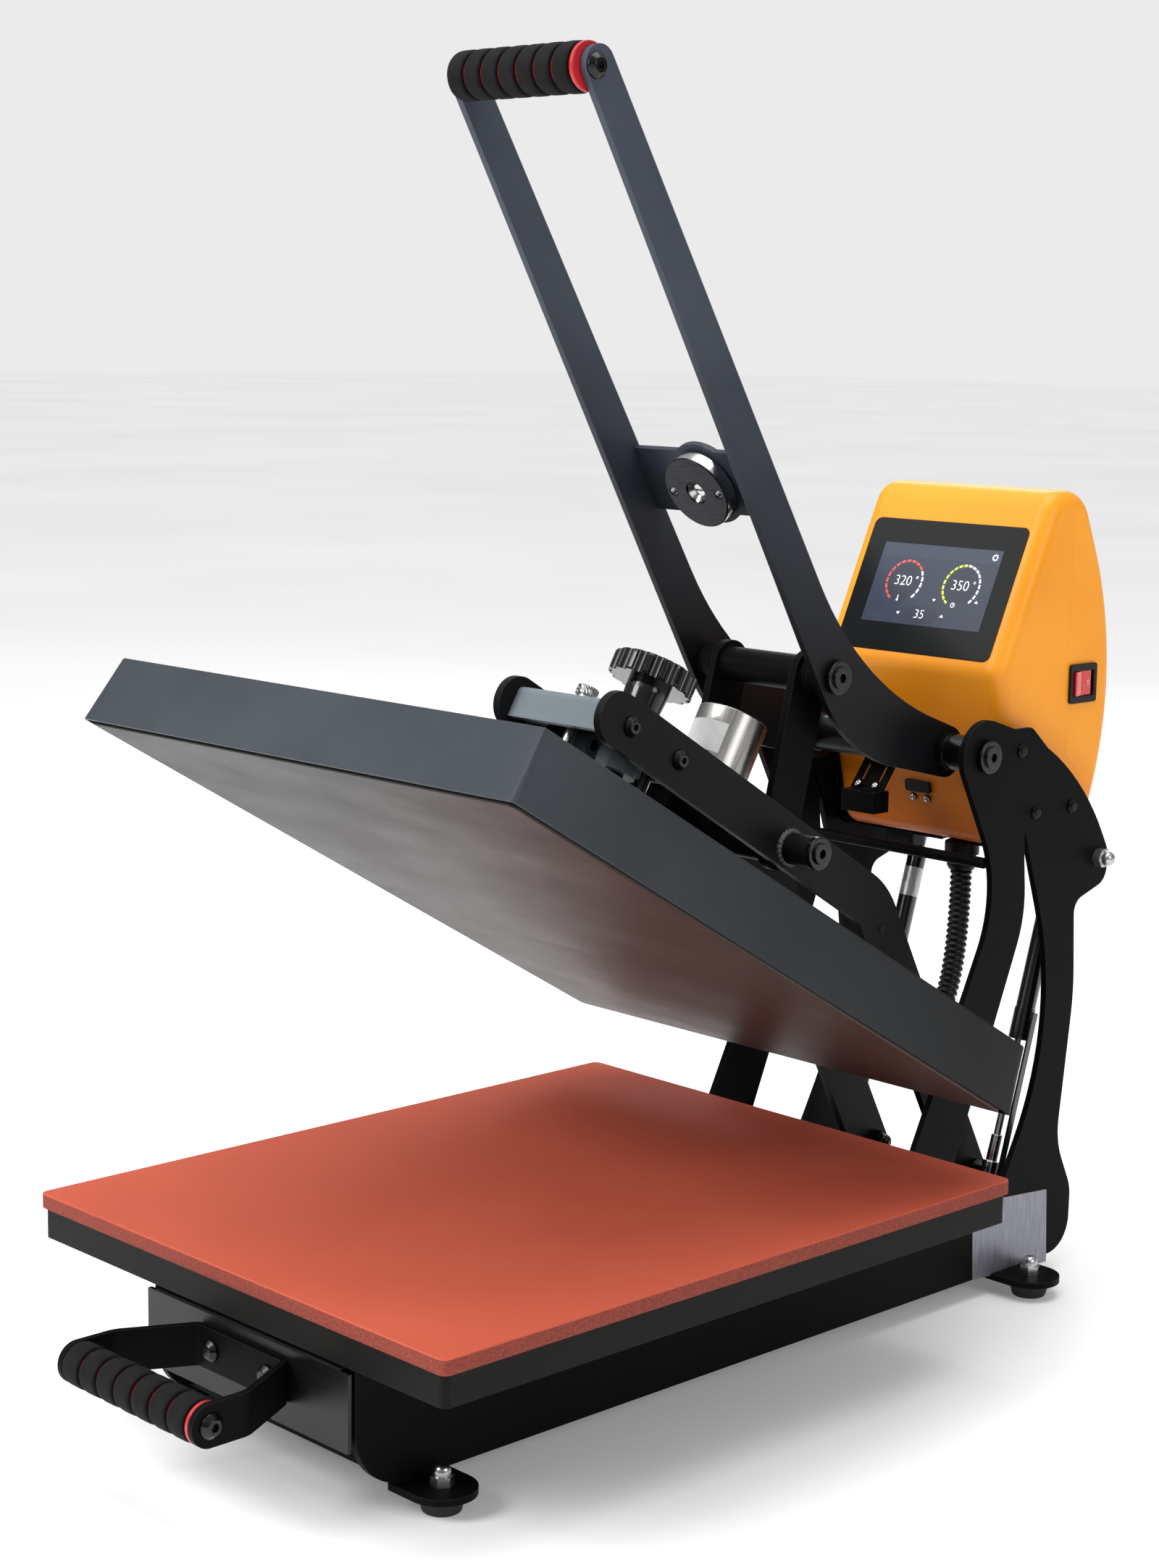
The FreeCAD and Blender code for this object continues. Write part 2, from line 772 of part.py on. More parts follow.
def control_board():
    """Circuit board on standoffs over the box floor, with relay, transformer, heat sink and capacitors."""
    body = new_body("control_board")
    floor = d.box_bottom + d.box_wall
    board = floor + 8
    pad(body, "plan", board, 1.6, [box(-60, 0, 668, 720, 2)])
    corners = [(x, y) for x in (-55, -5) for y in (673, 715)]
    pad(body, "plan", floor, 8, circles=[(x, y, 3) for x, y in corners])
    pad(body, "plan", board + 1.6, 16, [box(-52, -34, 680, 696), box(-28, -10, 680, 702)])
    pad(body, "plan", board + 1.6, 22, circles=[(-44, 706, 5), (-30, 710, 5)])
    fins = [box(-22 + 4 * fin, -20 + 4 * fin, 705, 717) for fin in range(4)]
    pad(body, "plan", board + 1.6, 18, fins)


def power_switch():
    """Switch frame in the side of the box, and its rocker, which tips about an upright axis."""
    frame = new_body("switch_body")
    y, z = d.switch_back, d.switch_up
    bezel = box(y - d.switch_width / 2, y + d.switch_width / 2, z - d.switch_height / 2,
                z + d.switch_height / 2, 2.5)
    play = 0.5
    well = box(y - d.rocker_width / 2 - play, y + d.rocker_width / 2 + play,
               z - d.rocker_height / 2 - play, z + d.rocker_height / 2 + play, 1)
    pad(frame, "side", d.box_half, 2.2, [bezel, well])
    case = box(y - d.rocker_width / 2 - 2.8, y + d.rocker_width / 2 + 2.8,
               z - d.rocker_height / 2 - 2.8, z + d.rocker_height / 2 + 2.8, 1)
    pad(frame, "side", d.box_half - 13, 13, [case, well])
    pad(frame, "side", d.box_half - 15, 2, [case])
    tilt = Placement(Vector(d.box_half, y, z), Rotation(Vector(0, 0, 1), d.rocker_tilt))
    rocker = new_body("power_rocker", datum * tilt)
    half = d.rocker_width / 2
    profile = [(-9, -half * 0.5), (2.4, -half, 1), (0.8, 0, 12), (2.4, half, 1), (-9, half * 0.5)]
    pad(rocker, "plan", -d.rocker_height / 2, "Sizes.rocker_height", [profile])
    pivot = d.rocker_height + 0.9
    pad(rocker, "plan", -pivot / 2, pivot, circles=[(0, 0, 1.5)])


def box_trim():
    """Proximity sensor on the lower front, cable gland and mains inlet under the box, and bracket."""
    sensor = new_body("proximity_sensor")
    slope = math.degrees(math.atan2(654.5 - 624.4, 324 - d.box_bottom))
    face = Placement(Vector(0, 624.4, 324), Rotation(X_AXIS, 90 + slope))
    pad(sensor, face, 0, 3.2, [box(-13, 10, -101, -92.5, 0.8)])
    for x in (-8, 5):
        screw = face * Placement(Vector(x, -106, 0), Rotation())
        pad(sensor, screw, 0, 1.8, circles=[(0, 0, 2.8)])
    gland = new_body("cable_gland")
    top = d.box_bottom
    r = d.gland_radius
    low = top - d.gland_length
    profile = [(d.conduit_bore, low), (r - 1.5, low), (r, low + 3), (r, low + 12), (r + 2, low + 12),
               (r + 2, top - 3, 1), (r - 3.2, top), (r - 3.2, top + 4), (d.conduit_bore, top + 4)]
    turn(gland, "z", (d.conduit_x, d.gland_back, 0), profile)
    inlet = new_body("power_inlet")
    pad(inlet, "plan", top - 3, 3, [box(-64, -32, 676, 700, 3)])
    pad(inlet, "plan", top - 16, 13, [box(-61, -35, 679, 697, 3), box(-59, -37, 681, 695, 2)])
    bracket = new_body("box_bracket")
    sheet_half = d.bracket_sheet / 2
    reach = d.frame_inside - sheet_half
    path = [(-reach, 230, 0), (-reach, top - sheet_half, 4), (reach, top - sheet_half, 4), (reach, 230, 0)]
    outline = strip(path, d.bracket_sheet)
    pad(bracket, "front", 664, 46, [outline])
    ear = [(664, 200), (710, 200), (710, 234, 8), (652, 284, 8), (622, 284, 8), (622, 256, 8), (642, 212, 8)]
    for side in (-1, 1):
        start = span(side, d.frame_inside - d.bracket_sheet, d.bracket_sheet)
        pad(bracket, "side", start, "Sizes.bracket_sheet", [ear], [(y, z, 2.6) for y, z in BOX_SCREWS])
    gap = 2
    holes = [box(-64 - gap, -32 + gap, 676 - gap, 700 + gap, 3)]
    round_hole = (d.conduit_x, d.gland_back, r + 2 + gap)
    cut(bracket, "plan", top - 8, 10, holes, [round_hole])
    for y, z in BOX_SCREWS[1:]:
        cut(bracket, "side", -d.frame_inside - 1, "2 * Sizes.frame_inside + 2", circles=[(y, z, 2.6)])


# Drawer with the lower platen

def drawer():
    carriage = new_body("drawer_carriage")
    half = d.carriage_half
    web_top = base_top_z - 2
    low = base_top_z - d.carriage_drop - 2
    thick = d.carriage_sheet
    face_back = d.face_front + d.face_sheet
    path = [(-half + thick / 2, low, 0), (-half + thick / 2, web_top - thick / 2, 2),
            (half - thick / 2, web_top - thick / 2, 2), (half - thick / 2, low, 0)]
    pad(carriage, "front", face_back, d.carriage_back - face_back, [strip(path, thick)])
    pad(carriage, "front", face_back, "Sizes.carriage_sheet", [box(-half, half, low, web_top)])
    standoffs = [(x, y, d.standoff_radius) for x in (-d.standoff_half, d.standoff_half)
                 for y in (d.standoff_front, d.standoff_back)]
    pad(carriage, "plan", web_top - 1, tray_bottom_z - web_top + 1, circles=standoffs)
    bolt_z = -d.strap_drop
    bolt_places = [(x, bolt_z, 4.2) for x in (-d.drawer_bolt_half, d.drawer_bolt_half)]
    cut(carriage, "front", face_back - 1, 5, circles=bolt_places)

    face = new_body("drawer_face")
    pad(face, "front", d.face_front, "Sizes.face_sheet",
        [box(-frame_outside, frame_outside, face_bottom_z, base_top_z - 2.2, 1)], bolt_places)
    lip = [(d.face_front, base_top_z - 6), (face_back, base_top_z - 6), (face_back, web_top),
           (face_back + d.face_lip, web_top), (face_back + d.face_lip, base_top_z),
           (d.face_front, base_top_z, 4)]
    pad(face, "side", -93, 186, [lip])

    tray = new_body("lower_platen")
    half_wide = d.pad_width / 2 - d.tray_inset
    front, back = d.tray_inset, d.pad_depth - d.tray_inset
    pad(tray, "plan", tray_bottom_z, "Sizes.tray_thickness", [box(-half_wide, half_wide, front, back, 5)])
    rib = d.tray_rib / 2
    side = half_wide - d.tray_wall + rib
    outer = (side + d.standoff_half) / 2
    x_lines = [-side, -outer, -d.standoff_half, 0, d.standoff_half, outer, side]
    span_y = d.standoff_back - d.standoff_front
    y_lines = [front + d.tray_wall - rib]
    y_lines += [d.standoff_front + span_y * step / 4 for step in range(5)]
    y_lines.append(back - d.tray_wall + rib)
    cells = []
    for left, right in zip(x_lines, x_lines[1:]):
        for near, far in zip(y_lines, y_lines[1:]):
            cells.append(box(left + rib, right - rib, near + rib, far - rib, 8))
    cut(tray, "plan", tray_bottom_z - 1, d.tray_thickness - d.tray_top + 1, cells)

    cushion = new_body("silicone_pad")
    pad(cushion, "plan", -d.pad_thickness, "Sizes.pad_thickness",
        [box(-d.pad_width / 2, d.pad_width / 2, 0, d.pad_depth, d.pad_corner)])
    fillet(cushion, 1.2, lambda edge: abs(edge.CenterOfMass.z) < 0.01)


def drawer_handle():
    """Bent strap with splayed legs, and a ringed foam grip on a through bolt."""
    grip_y = d.face_front - d.drawer_grip_reach
    grip_z = -d.strap_drop
    tip_round = d.strap_height / 2 - 0.1
    strap = new_body("drawer_strap")
    thick = d.strap_thickness
    base_y = d.face_front - thick / 2
    end = d.strap_end_half
    path = [(end, grip_y - d.strap_height / 2, 0), (end, base_y - d.strap_splay, 18),
            (d.strap_root_half, base_y, 5), (-d.strap_root_half, base_y, 5),
            (-end, base_y - d.strap_splay, 18), (-end, grip_y - d.strap_height / 2, 0)]
    pad(strap, "plan", grip_z - d.strap_height / 2, "Sizes.strap_height", [strip(path, thick)])
    tip_y = grip_y - d.strap_height / 2
    fillet(strap, tip_round, lambda edge: abs(edge.CenterOfMass.y - tip_y) < 0.01
           and abs(edge.BoundBox.XLength - thick) < 0.01)
    cut(strap, "side", -end - 5, 2 * end + 10, circles=[(grip_y, grip_z, 4.2)])
    cut(strap, "front", d.face_front - thick - 1, thick + 2,
        circles=[(x, grip_z, 4.2) for x in (-d.drawer_bolt_half, d.drawer_bolt_half)])
    inner = end - thick / 2
    bolts = new_body("drawer_bolts")
    outer = end + thick / 2
    pad(bolts, "side", -outer, 2 * outer, circles=[(grip_y, grip_z, 4)])
    for side in (-1, 1):
        turn(bolts, "x", (0, grip_y, grip_z), mirrored(shifted(button_head(8, 4.5), outer), side))
        cut(bolts, "side", span(side, outer + 2, 2.6), 2.6, [hexagon(grip_y, grip_z, 5)])
        x = d.drawer_bolt_half * side
        front = d.face_front - thick
        back = d.face_front + d.face_sheet + d.carriage_sheet
        pad(bolts, "front", front, back + 8 - front, circles=[(x, grip_z, 4)])
        pad(bolts, "front", back, 6.5, [hexagon(x, grip_z, 13)])
        turn(bolts, "y", (x, front, grip_z), [(0, 0), (7, 0), (7, -1.3, 0.6), (4.2, -4.4, 1.2), (0, -4.4)])
    grip("drawer_grip_foam", "drawer_grip_sleeve", Vector(0, grip_y, grip_z), inner - 0.3,
         d.drawer_grip_radius, 4.1)


def grip(foam_label, sleeve_label, centre, half, radius, bore):
    """Foam rings with narrow grooves between them, on a sleeve with a flange at its right end."""
    core = radius - d.grip_ring_wall
    flange = 3
    sleeve = new_body(sleeve_label)
    profile = [(bore, -half), (core, -half), (core, half - flange), (radius - 0.5, half - flange, 0.8),
               (radius - 0.5, half, 0.8), (bore, half)]
    turn(sleeve, "x", centre, profile)
    foam = new_body(foam_label)
    count = int(d.grip_rings)
    length = 2 * half - flange
    pitch = length / count
    for ring in range(count):
        start = -half + pitch * ring
        end = start + pitch - d.grip_groove
        profile = [(core + 0.05, start), (radius - 1.2, start), (radius, start + 1.2), (radius, end - 1.2),
                   (radius - 1.2, end), (core + 0.05, end)]
        turn(foam, "x", centre, profile)


# Upper arm

def arm_outline():
    """Straight front part, then a leg that slopes down past the hinge to the gas spring."""
    slope = math.tan(math.radians(d.arm_slope))
    across = d.arm_leg_width / math.cos(math.radians(d.arm_slope))
    bend_back, bend_up = 244.7, d.channel_top + 0.5
    hollow_back = 230
    low_at_bend = bend_up - across
    run = Vector(math.cos(math.radians(d.arm_slope)), -math.sin(math.radians(d.arm_slope)), 0)
    foot = Vector(d.spring_foot_back, d.spring_foot_up, 0) + run * 18
    top_end_up = bend_up - slope * (foot.x - bend_back)
    normal = Vector(-run.y, run.x, 0)
    gap = (Vector(foot.x, top_end_up, 0) - foot).dot(normal)
    upper_end = foot + normal * gap
    lower_end = upper_end - normal * d.arm_leg_width
    hollow_up = low_at_bend - slope * (hollow_back - bend_back)
    return [
        (-80.3, 107.8, 17.5),
        (hollow_back, hollow_up, 15),
        (lower_end.x, lower_end.y, 20),
        (upper_end.x, upper_end.y, 11),
        (bend_back, bend_up, 70),
        (-80.3, d.channel_top + 6.8, 17.5),
    ]


def arm_plate(side):
    body = new_body("arm_plate_right" if side > 0 else "arm_plate_left", upper)
    start = span(side, d.arm_inside, d.arm_plate)
    hinge = opening.inverse().multVec(hinge_point) - closed_centre
    bolt = 4 + d.running_fit
    holes = [
        (d.link_pivot_back, d.link_pivot_up, pin_hole),
        (hinge.y, hinge.z, shaft_hole),
        (d.channel_bolt_front, d.channel_bolt_up, bolt),
        (d.channel_bolt_back, d.channel_bolt_up, bolt),
        (d.spring_foot_back, d.spring_foot_up, bolt),
        (255.2, 107.8, 2.1),
    ]
    pad(body, "side", start, "Sizes.arm_plate", [arm_outline()], holes)
    boss = [(pin_hole, arm_outside), (d.boss_radius, arm_outside),
            (d.boss_radius, arm_outside + d.boss_length, 0.8), (pin_hole, arm_outside + d.boss_length)]
    turn(body, "x", (0, d.link_pivot_back, d.link_pivot_up), mirrored(boss, side))


def front_channel():
    """Bent channel between the arms: it carries the spindle nut and guides the platen's rods."""
    body = new_body("front_channel", upper)
    half = d.channel_sheet / 2
    top = d.channel_top - half
    path = [(d.channel_front + half, top - 21, 0), (d.channel_front + half, top, 3),
            (d.channel_back - half, top, 3), (d.channel_back - half, top - 17, 0)]
    pad(body, "side", -d.arm_inside, "2 * Sizes.arm_inside", [strip(path, d.channel_sheet)])
    nut = d.nut_radius
    pad(body, "plan", d.nut_bottom, d.channel_top - d.nut_bottom - 1, circles=[(0, d.spindle_back, nut)])
    for s in (d.channel_bolt_front, d.channel_bolt_back):
        for side in (-1, 1):
            block = (s, d.channel_bolt_up, 8.5)
            pad(body, "side", span(side, d.arm_inside - 15, 15), 15, circles=[block])
            cut(body, "side", span(side, d.arm_inside - 15, 15), 15, circles=[(s, d.channel_bolt_up, 4.05)])
    spindle = (0, d.spindle_back, d.spindle_radius + d.spindle_play)
    rods = [(0, s, d.guide_rod_radius + 0.2) for s in (d.guide_rod_front, d.guide_rod_back)]
    cut(body, "plan", d.nut_bottom - 1, d.channel_top - d.nut_bottom + 2, circles=[spindle] + rods)


def magnet():
    bracket = new_body("magnet_bracket", upper)
    s = d.magnet_back
    half = d.arm_inside
    outline = [(-half, s - 30, 3), (half, s - 30, 3), (half, s + 12, 3), (d.magnet_radius + 4, s + 12, 3),
               (d.magnet_radius + 4, s + 28, 8), (-d.magnet_radius - 4, s + 28, 8),
               (-d.magnet_radius - 4, s + 12, 3), (-half, s + 12, 3)]
    pad(bracket, "plan", d.magnet_seat - d.magnet_plate, "Sizes.magnet_plate", [outline], [(0, s, 4.1)])
    coil = new_body("electromagnet", upper)
    r = d.magnet_radius
    low = d.magnet_seat
    high = low + d.magnet_height
    profile = [(0, low), (r, low, 0.8), (r, high, 0.8), (r - 4, high), (r - 4, high - 0.8),
               (r - 13, high - 0.8), (r - 13, high), (0, high)]
    turn(coil, "z", (0, s, 0), profile)


def arm_pivots():
    tube = new_body("hinge_tube", upper)
    hinge = opening.inverse().multVec(hinge_point) - closed_centre
    pad(tube, "side", -d.arm_inside, "2 * Sizes.arm_inside",
        circles=[(hinge.y, hinge.z, d.bush_radius), (hinge.y, hinge.z, shaft_hole)])
    shaft = new_body("link_shaft", upper)
    s, z = d.link_pivot_back, d.link_pivot_up
    reach = arm_outside + d.boss_length
    pad(shaft, "side", -reach, 2 * reach, circles=[(s, z, d.pin_radius)])
    for side in (-1, 1):
        cap = shifted(pivot_cap(d.cap_radius - 0.3, 4, d.head_radius - 0.5, d.head_rise), reach)
        turn(shaft, "x", (0, s, z), mirrored(cap, side))
        depth = d.head_rise + 2
        cut(shaft, "side", span(side, reach + 4 + d.head_rise - depth, depth), depth,
            [hexagon(s, z, d.socket_flats)])
        washer = [(d.pin_radius - 0.5, link_outside + d.side_gap), (10, link_outside + d.side_gap),
                  (10, d.arm_inside - 0.1), (d.pin_radius - 0.5, d.arm_inside - 0.1)]
        turn(shaft, "x", (0, s, z), mirrored(washer, side))


def arm_fasteners():
    """Channel bolts, a small pin in each arm, and the gas springs' lower ball studs."""
    body = new_body("arm_fasteners", upper)
    for side in (-1, 1):
        for s in (d.channel_bolt_front, d.channel_bolt_back):
            bolt = [(0, -20), (4, -20), (4, 0)] + button_head(7, 4)[1:]
            turn(body, "x", (0, s, d.channel_bolt_up), mirrored(shifted(bolt, arm_outside), side))
            cut(body, "side", span(side, arm_outside + 1.8, 2.3), 2.3,
                [hexagon(s, d.channel_bolt_up, 4)])
        pin = [(0, -5), (2, -5), (2, 0), (2.4, 0), (2.4, 1, 0.5), (0, 1)]
        turn(body, "x", (0, 255.2, 107.8), mirrored(shifted(pin, arm_outside), side))
        foot = Vector(0, d.spring_foot_back, d.spring_foot_up)
        ball_stud(body, foot, side, d.arm_inside, arm_outside, 1, False)


# Heat platen

def rounded_rectangle(half_wide, half_deep, radius):
    return box(-half_wide, half_wide, -half_deep, half_deep, radius)


def platen_half(up):
    """Half width and half depth of the cover's outside at a height over the working face."""
    draft = d.platen_draft * up / d.platen_height
    return d.platen_width / 2 - draft, d.platen_depth / 2 - draft


def heat_platen():
    cover = new_body("platen_cover", upper)
    low, high = d.cover_lift, d.platen_height
    wall = d.cover_sheet
    r = d.platen_corner
    draft_angle = math.degrees(math.atan(d.platen_draft / d.platen_height))
    shell = pad(cover, "plan", low, high - low, [rounded_rectangle(*platen_half(low), r)])
    shell.TaperAngle = -draft_angle
    fillet(cover, 1.6, lambda edge: abs(edge.CenterOfMass.z - high) < 0.01)
    inside = [half - wall for half in platen_half(low)]
    hollow = cut(cover, "plan", low, high - wall - low, [rounded_rectangle(*inside, r - wall + 0.5)])
    hollow.TaperAngle = -draft_angle
    gland_hole = (d.conduit_x, d.platen_gland_up, d.gland_radius - 2.9)
    cut(cover, "front", 250, 20, circles=[gland_hole])

    plate = new_body("heat_plate", upper)
    half_wide = d.platen_width / 2 - d.hot_plate_margin - d.platen_draft * 0.5
    half_deep = d.platen_depth / 2 - d.hot_plate_margin - d.platen_draft * 0.5
    pad(plate, "plan", 0, "Sizes.hot_plate_thickness", [rounded_rectangle(half_wide, half_deep, 5)])
    fillet(plate, 1, lambda edge: abs(edge.CenterOfMass.z) < 0.01)
    reach_x, reach_s = half_wide - 30, half_deep - 30
    step = 2 * reach_x / 5
    path = [(-reach_x, reach_s, 0)]
    for turn_index in range(6):
        x = -reach_x + step * turn_index
        ends = (reach_s, -reach_s) if turn_index % 2 == 0 else (-reach_s, reach_s)
        if turn_index:
            path.append((x, ends[0], step * 0.45))
        path.append((x, ends[1], step * 0.45))
    path[-1] = (path[-1][0], path[-1][1], 0)
    pad(plate, "plan", d.hot_plate_thickness - 1, "Sizes.element_rise + 1", [strip(path[1:], d.element_width)])

    blanket = new_body("insulation_board", upper)
    low = d.hot_plate_thickness + d.element_rise + 0.5
    half_wide, half_deep = [half - wall - 3 for half in platen_half(low + d.insulation_thickness)]
    pad(blanket, "plan", low, "Sizes.insulation_thickness", [rounded_rectangle(half_wide, half_deep, 6)])


def platen_fittings():
    """Guide rods with knurled heads, the seat that the spindle turns in, and the conduit's gland."""
    rods = new_body("guide_rods", upper)
    top = d.platen_height
    r = d.guide_rod_radius
    head_low = d.channel_top + 1.5
    head_high = head_low + d.guide_head_height
    for s in (d.guide_rod_front, d.guide_rod_back):
        profile = [(0, top), (7, top), (7, top + 4, 1), (r, top + 4), (r, head_low), (5.5, head_low),
                   (5.5, head_low + 2.5), (d.guide_head_radius, head_low + 2.5, 0.5),
                   (d.guide_head_radius, head_high, 1), (0, head_high)]
        turn(rods, "z", (0, s, 0), profile)
    seat = new_body("spindle_seat", upper)
    bore = d.spindle_radius + 0.2
    height = d.seat_height
    profile = [(0, top), (d.seat_radius, top), (d.seat_radius, top + 5, 1), (14, top + 5, 1.5),
               (14, top + height, 1.5), (bore, top + height), (bore, top + 5), (0, top + 5)]
    turn(seat, "z", (0, d.spindle_back, 0), profile)
    gland = new_body("platen_gland", upper)
    wall_s = platen_half(d.platen_gland_up)[1]
    r = d.gland_radius
    end = d.platen_gland_reach
    profile = [(d.conduit_bore, wall_s - 2.2), (r - 3, wall_s - 2.2), (r - 3, wall_s + 1.8), (r + 2, wall_s + 1.8),
               (r + 2, wall_s + 7, 1), (r, wall_s + 7), (r, end - 3), (r - 1.5, end), (d.conduit_bore, end)]
    turn(gland, "y", (d.conduit_x, 0, d.platen_gland_up), profile)


def pressure_screw():
    """Fluted knob on the threaded spindle, both drawn about the spindle's own axis."""
    axis = upper * Placement(Vector(0, d.spindle_back, 0), Rotation())
    knob = new_body("pressure_knob", axis)
    low = d.knob_bottom
    high = low + d.knob_thickness
    r = d.knob_radius
    hub = d.hub_radius
    profile = [(0, d.hub_bottom), (hub - 2, d.hub_bottom, 1), (hub, low - 6), (hub, low), (r, low, 1.5),
               (r, high, 2.5), (r - 9, high), (r - 12, high - 2), (9, high - 2), (9, high + 1, 1), (0, high + 1)]
    turn(knob, "z", (0, 0, 0), profile)
    flute = cut(knob, "plan", low - 1, "Sizes.knob_thickness + 2", circles=[(r + 1.2, 0, d.flute_radius)])
    turns = knob.newObject("PartDesign::PolarPattern", "knob_flutes")
    turns.Originals = [flute]
    upright = next(item for item in knob.Origin.OriginFeatures if item.Role == "Z_Axis")
    turns.Axis = (upright, [""])
    turns.Angle = 360
    turns.setExpression("Occurrences", "Sizes.knob_flutes")
    knob.Tip = turns
    thread_top = high - 6
    cut(knob, "plan", d.hub_bottom - 1, thread_top - d.hub_bottom + 1,
        circles=[(0, 0, d.spindle_radius + 0.02)])
    spindle = new_body("pressure_spindle", axis)
    seat_floor = d.platen_height + 5
    profile = [(0, seat_floor + 0.3), (4, seat_floor + 0.3), (d.spindle_radius, seat_floor + 3),
               (d.spindle_radius, thread_top), (0, thread_top)]
    turn(spindle, "z", (0, 0, 0), profile)


# Lever

def lever_outline():
    """Tapered bar from the grip down to the toggle pivot, bent back round to the lever shaft."""
    y, z = d.lever_back, d.lever_up
    grip_y, grip_z = d.grip_back, d.grip_up
    return [
        (y + 13.7, z - 22.8, 16.5),
        (y + 23.5, z + 11.1, 16.5),
        (y - 95.4, z + 54.4, 245),
        (grip_y + 7.8, grip_z + 17.8, 12.2),
        (grip_y - 13.5, grip_z + 5.5, 12.2),
        (y - 107.8, z + 5.9, 124),
    ]


def lever_arm(side):
    body = new_body("handle_arm_right" if side > 0 else "handle_arm_left")
    start = span(side, d.lever_inside, d.lever_plate)
    holes = [
        (d.lever_back, d.lever_up, shaft_hole),
        (d.toggle_back, d.toggle_up, d.toggle_pin_radius + 0.02),
        (d.grip_back, d.grip_up, 4.02),
    ]
    pad(body, "side", start, "Sizes.lever_plate", [lever_outline()], holes)


def lever_fittings():
    crosspieces = new_body("handle_crosspieces")
    y, z = d.lever_back, d.lever_up
    pad(crosspieces, "side", -d.lever_inside, "2 * Sizes.lever_inside",
        circles=[(y, z, d.bush_radius), (y, z, shaft_hole)])

    closed_strike = closed_centre + Vector(0, d.magnet_back - d.strike_ahead,
                                           d.magnet_seat + d.magnet_height + d.strike_gap)
    strike_frame = lever_opening * Placement(closed_strike, Rotation())
    strike = datum * strike_frame
    disc = new_body("strike_disc", strike)
    r = d.strike_radius
    back = d.strike_thickness
    high = back + d.strike_spacer
    profile = [(0, 4), (4.5, 4), (8.5, 0), (r, 0, 0.8), (r, back, 0.8), (r - 5, back), (r - 5, high), (3, high),
               (3, high + d.strike_plate + 6), (0, high + d.strike_plate + 6)]
    turn(disc, "z", (0, 0, 0), profile)
    cut(disc, "plan", -1, 6, circles=[(x, 0, 3.6) for x in (-21, 21)])
    cut(disc, "plan", 3, 2.5, [box(-4.4, 4.4, -0.8, 0.8)])
    nut_low = high + d.strike_plate
    pad(disc, "plan", nut_low, 5, [hexagon(0, 0, 10)])
    half_high = d.strike_plate_height / 2
    middle = -d.strike_plate_rise
    outline = box(-d.lever_inside, d.lever_inside, middle - half_high, middle + half_high)
    pad(crosspieces, strike_frame, high, "Sizes.strike_plate", [outline])
    pad(crosspieces, strike_frame, high, "Sizes.strike_plate", circles=[(0, 0, d.strike_boss_radius)])
    cut(crosspieces, strike_frame, high - 1, "Sizes.strike_plate + 2", circles=[(0, 0, 3.02)])

    centre = Vector(0, d.grip_back, d.grip_up)
    grip("grip_foam", "grip_sleeve", centre, d.lever_inside - 0.3, d.grip_radius, d.grip_core_radius + 0.1)
    bolts = new_body("handle_bolts")
    outer = lever_outside
    pad(bolts, "side", -d.lever_inside, "2 * Sizes.lever_inside",
        circles=[(centre.y, centre.z, d.grip_core_radius)])
    pad(bolts, "side", -outer, 2 * outer, circles=[(centre.y, centre.z, 4)])
    for side in (-1, 1):
        turn(bolts, "x", centre, mirrored(shifted(button_head(8, 4.5), outer), side))
        cut(bolts, "side", span(side, outer + 2, 2.6), 2.6, [hexagon(centre.y, centre.z, 5)])
        stub = [(0, d.lever_inside + 0.2), (d.toggle_pin_radius, d.lever_inside + 0.2),
                (d.toggle_pin_radius, outer)]
        cap = shifted(pivot_cap(d.cap_radius, d.cap_thickness, d.head_radius, d.head_rise), outer)
        turn(bolts, "x", toggle_point, mirrored(stub + cap[1:], side))
        depth = d.head_rise + 2
        top = outer + d.cap_thickness + d.head_rise
        cut(bolts, "side", span(side, top - depth, depth), depth,
            [hexagon(toggle_point.y, toggle_point.z, d.socket_flats)])

    flag = new_body("position_flag")
    tab_top = (y + 6, z - d.bush_radius - 0.6)
    tab_foot = (y - 11.5, z - 36)
    pad(flag, "side", -15, 30, [strip([tab_top + (0,), tab_foot + (0,)], 2)])
    tilt = math.degrees(math.atan2(tab_top[1] - tab_foot[1], tab_top[0] - tab_foot[0]))
    tab = Placement(Vector(0, tab_foot[0], tab_foot[1]), Rotation(X_AXIS, tilt))
    cut(flag, tab, -3, 6, [box(x - 1.6, x + 1.6, 8, 22, 1.5) for x in (-8, 8)])
    block = [(-10, -17), (8, -17), (8, -1.2), (-10, -1.2)]
    pad(flag, "side", -15, 30, [[(tab_foot[0] + v, tab_foot[1] + w + 2, 1) for v, w in block]])
    for x in (-8, 8):
        screw = tab * Placement(Vector(x, 4, 0), Rotation())
        pad(flag, screw, 1, 2, circles=[(0, 0, 3)])


# Toggle links

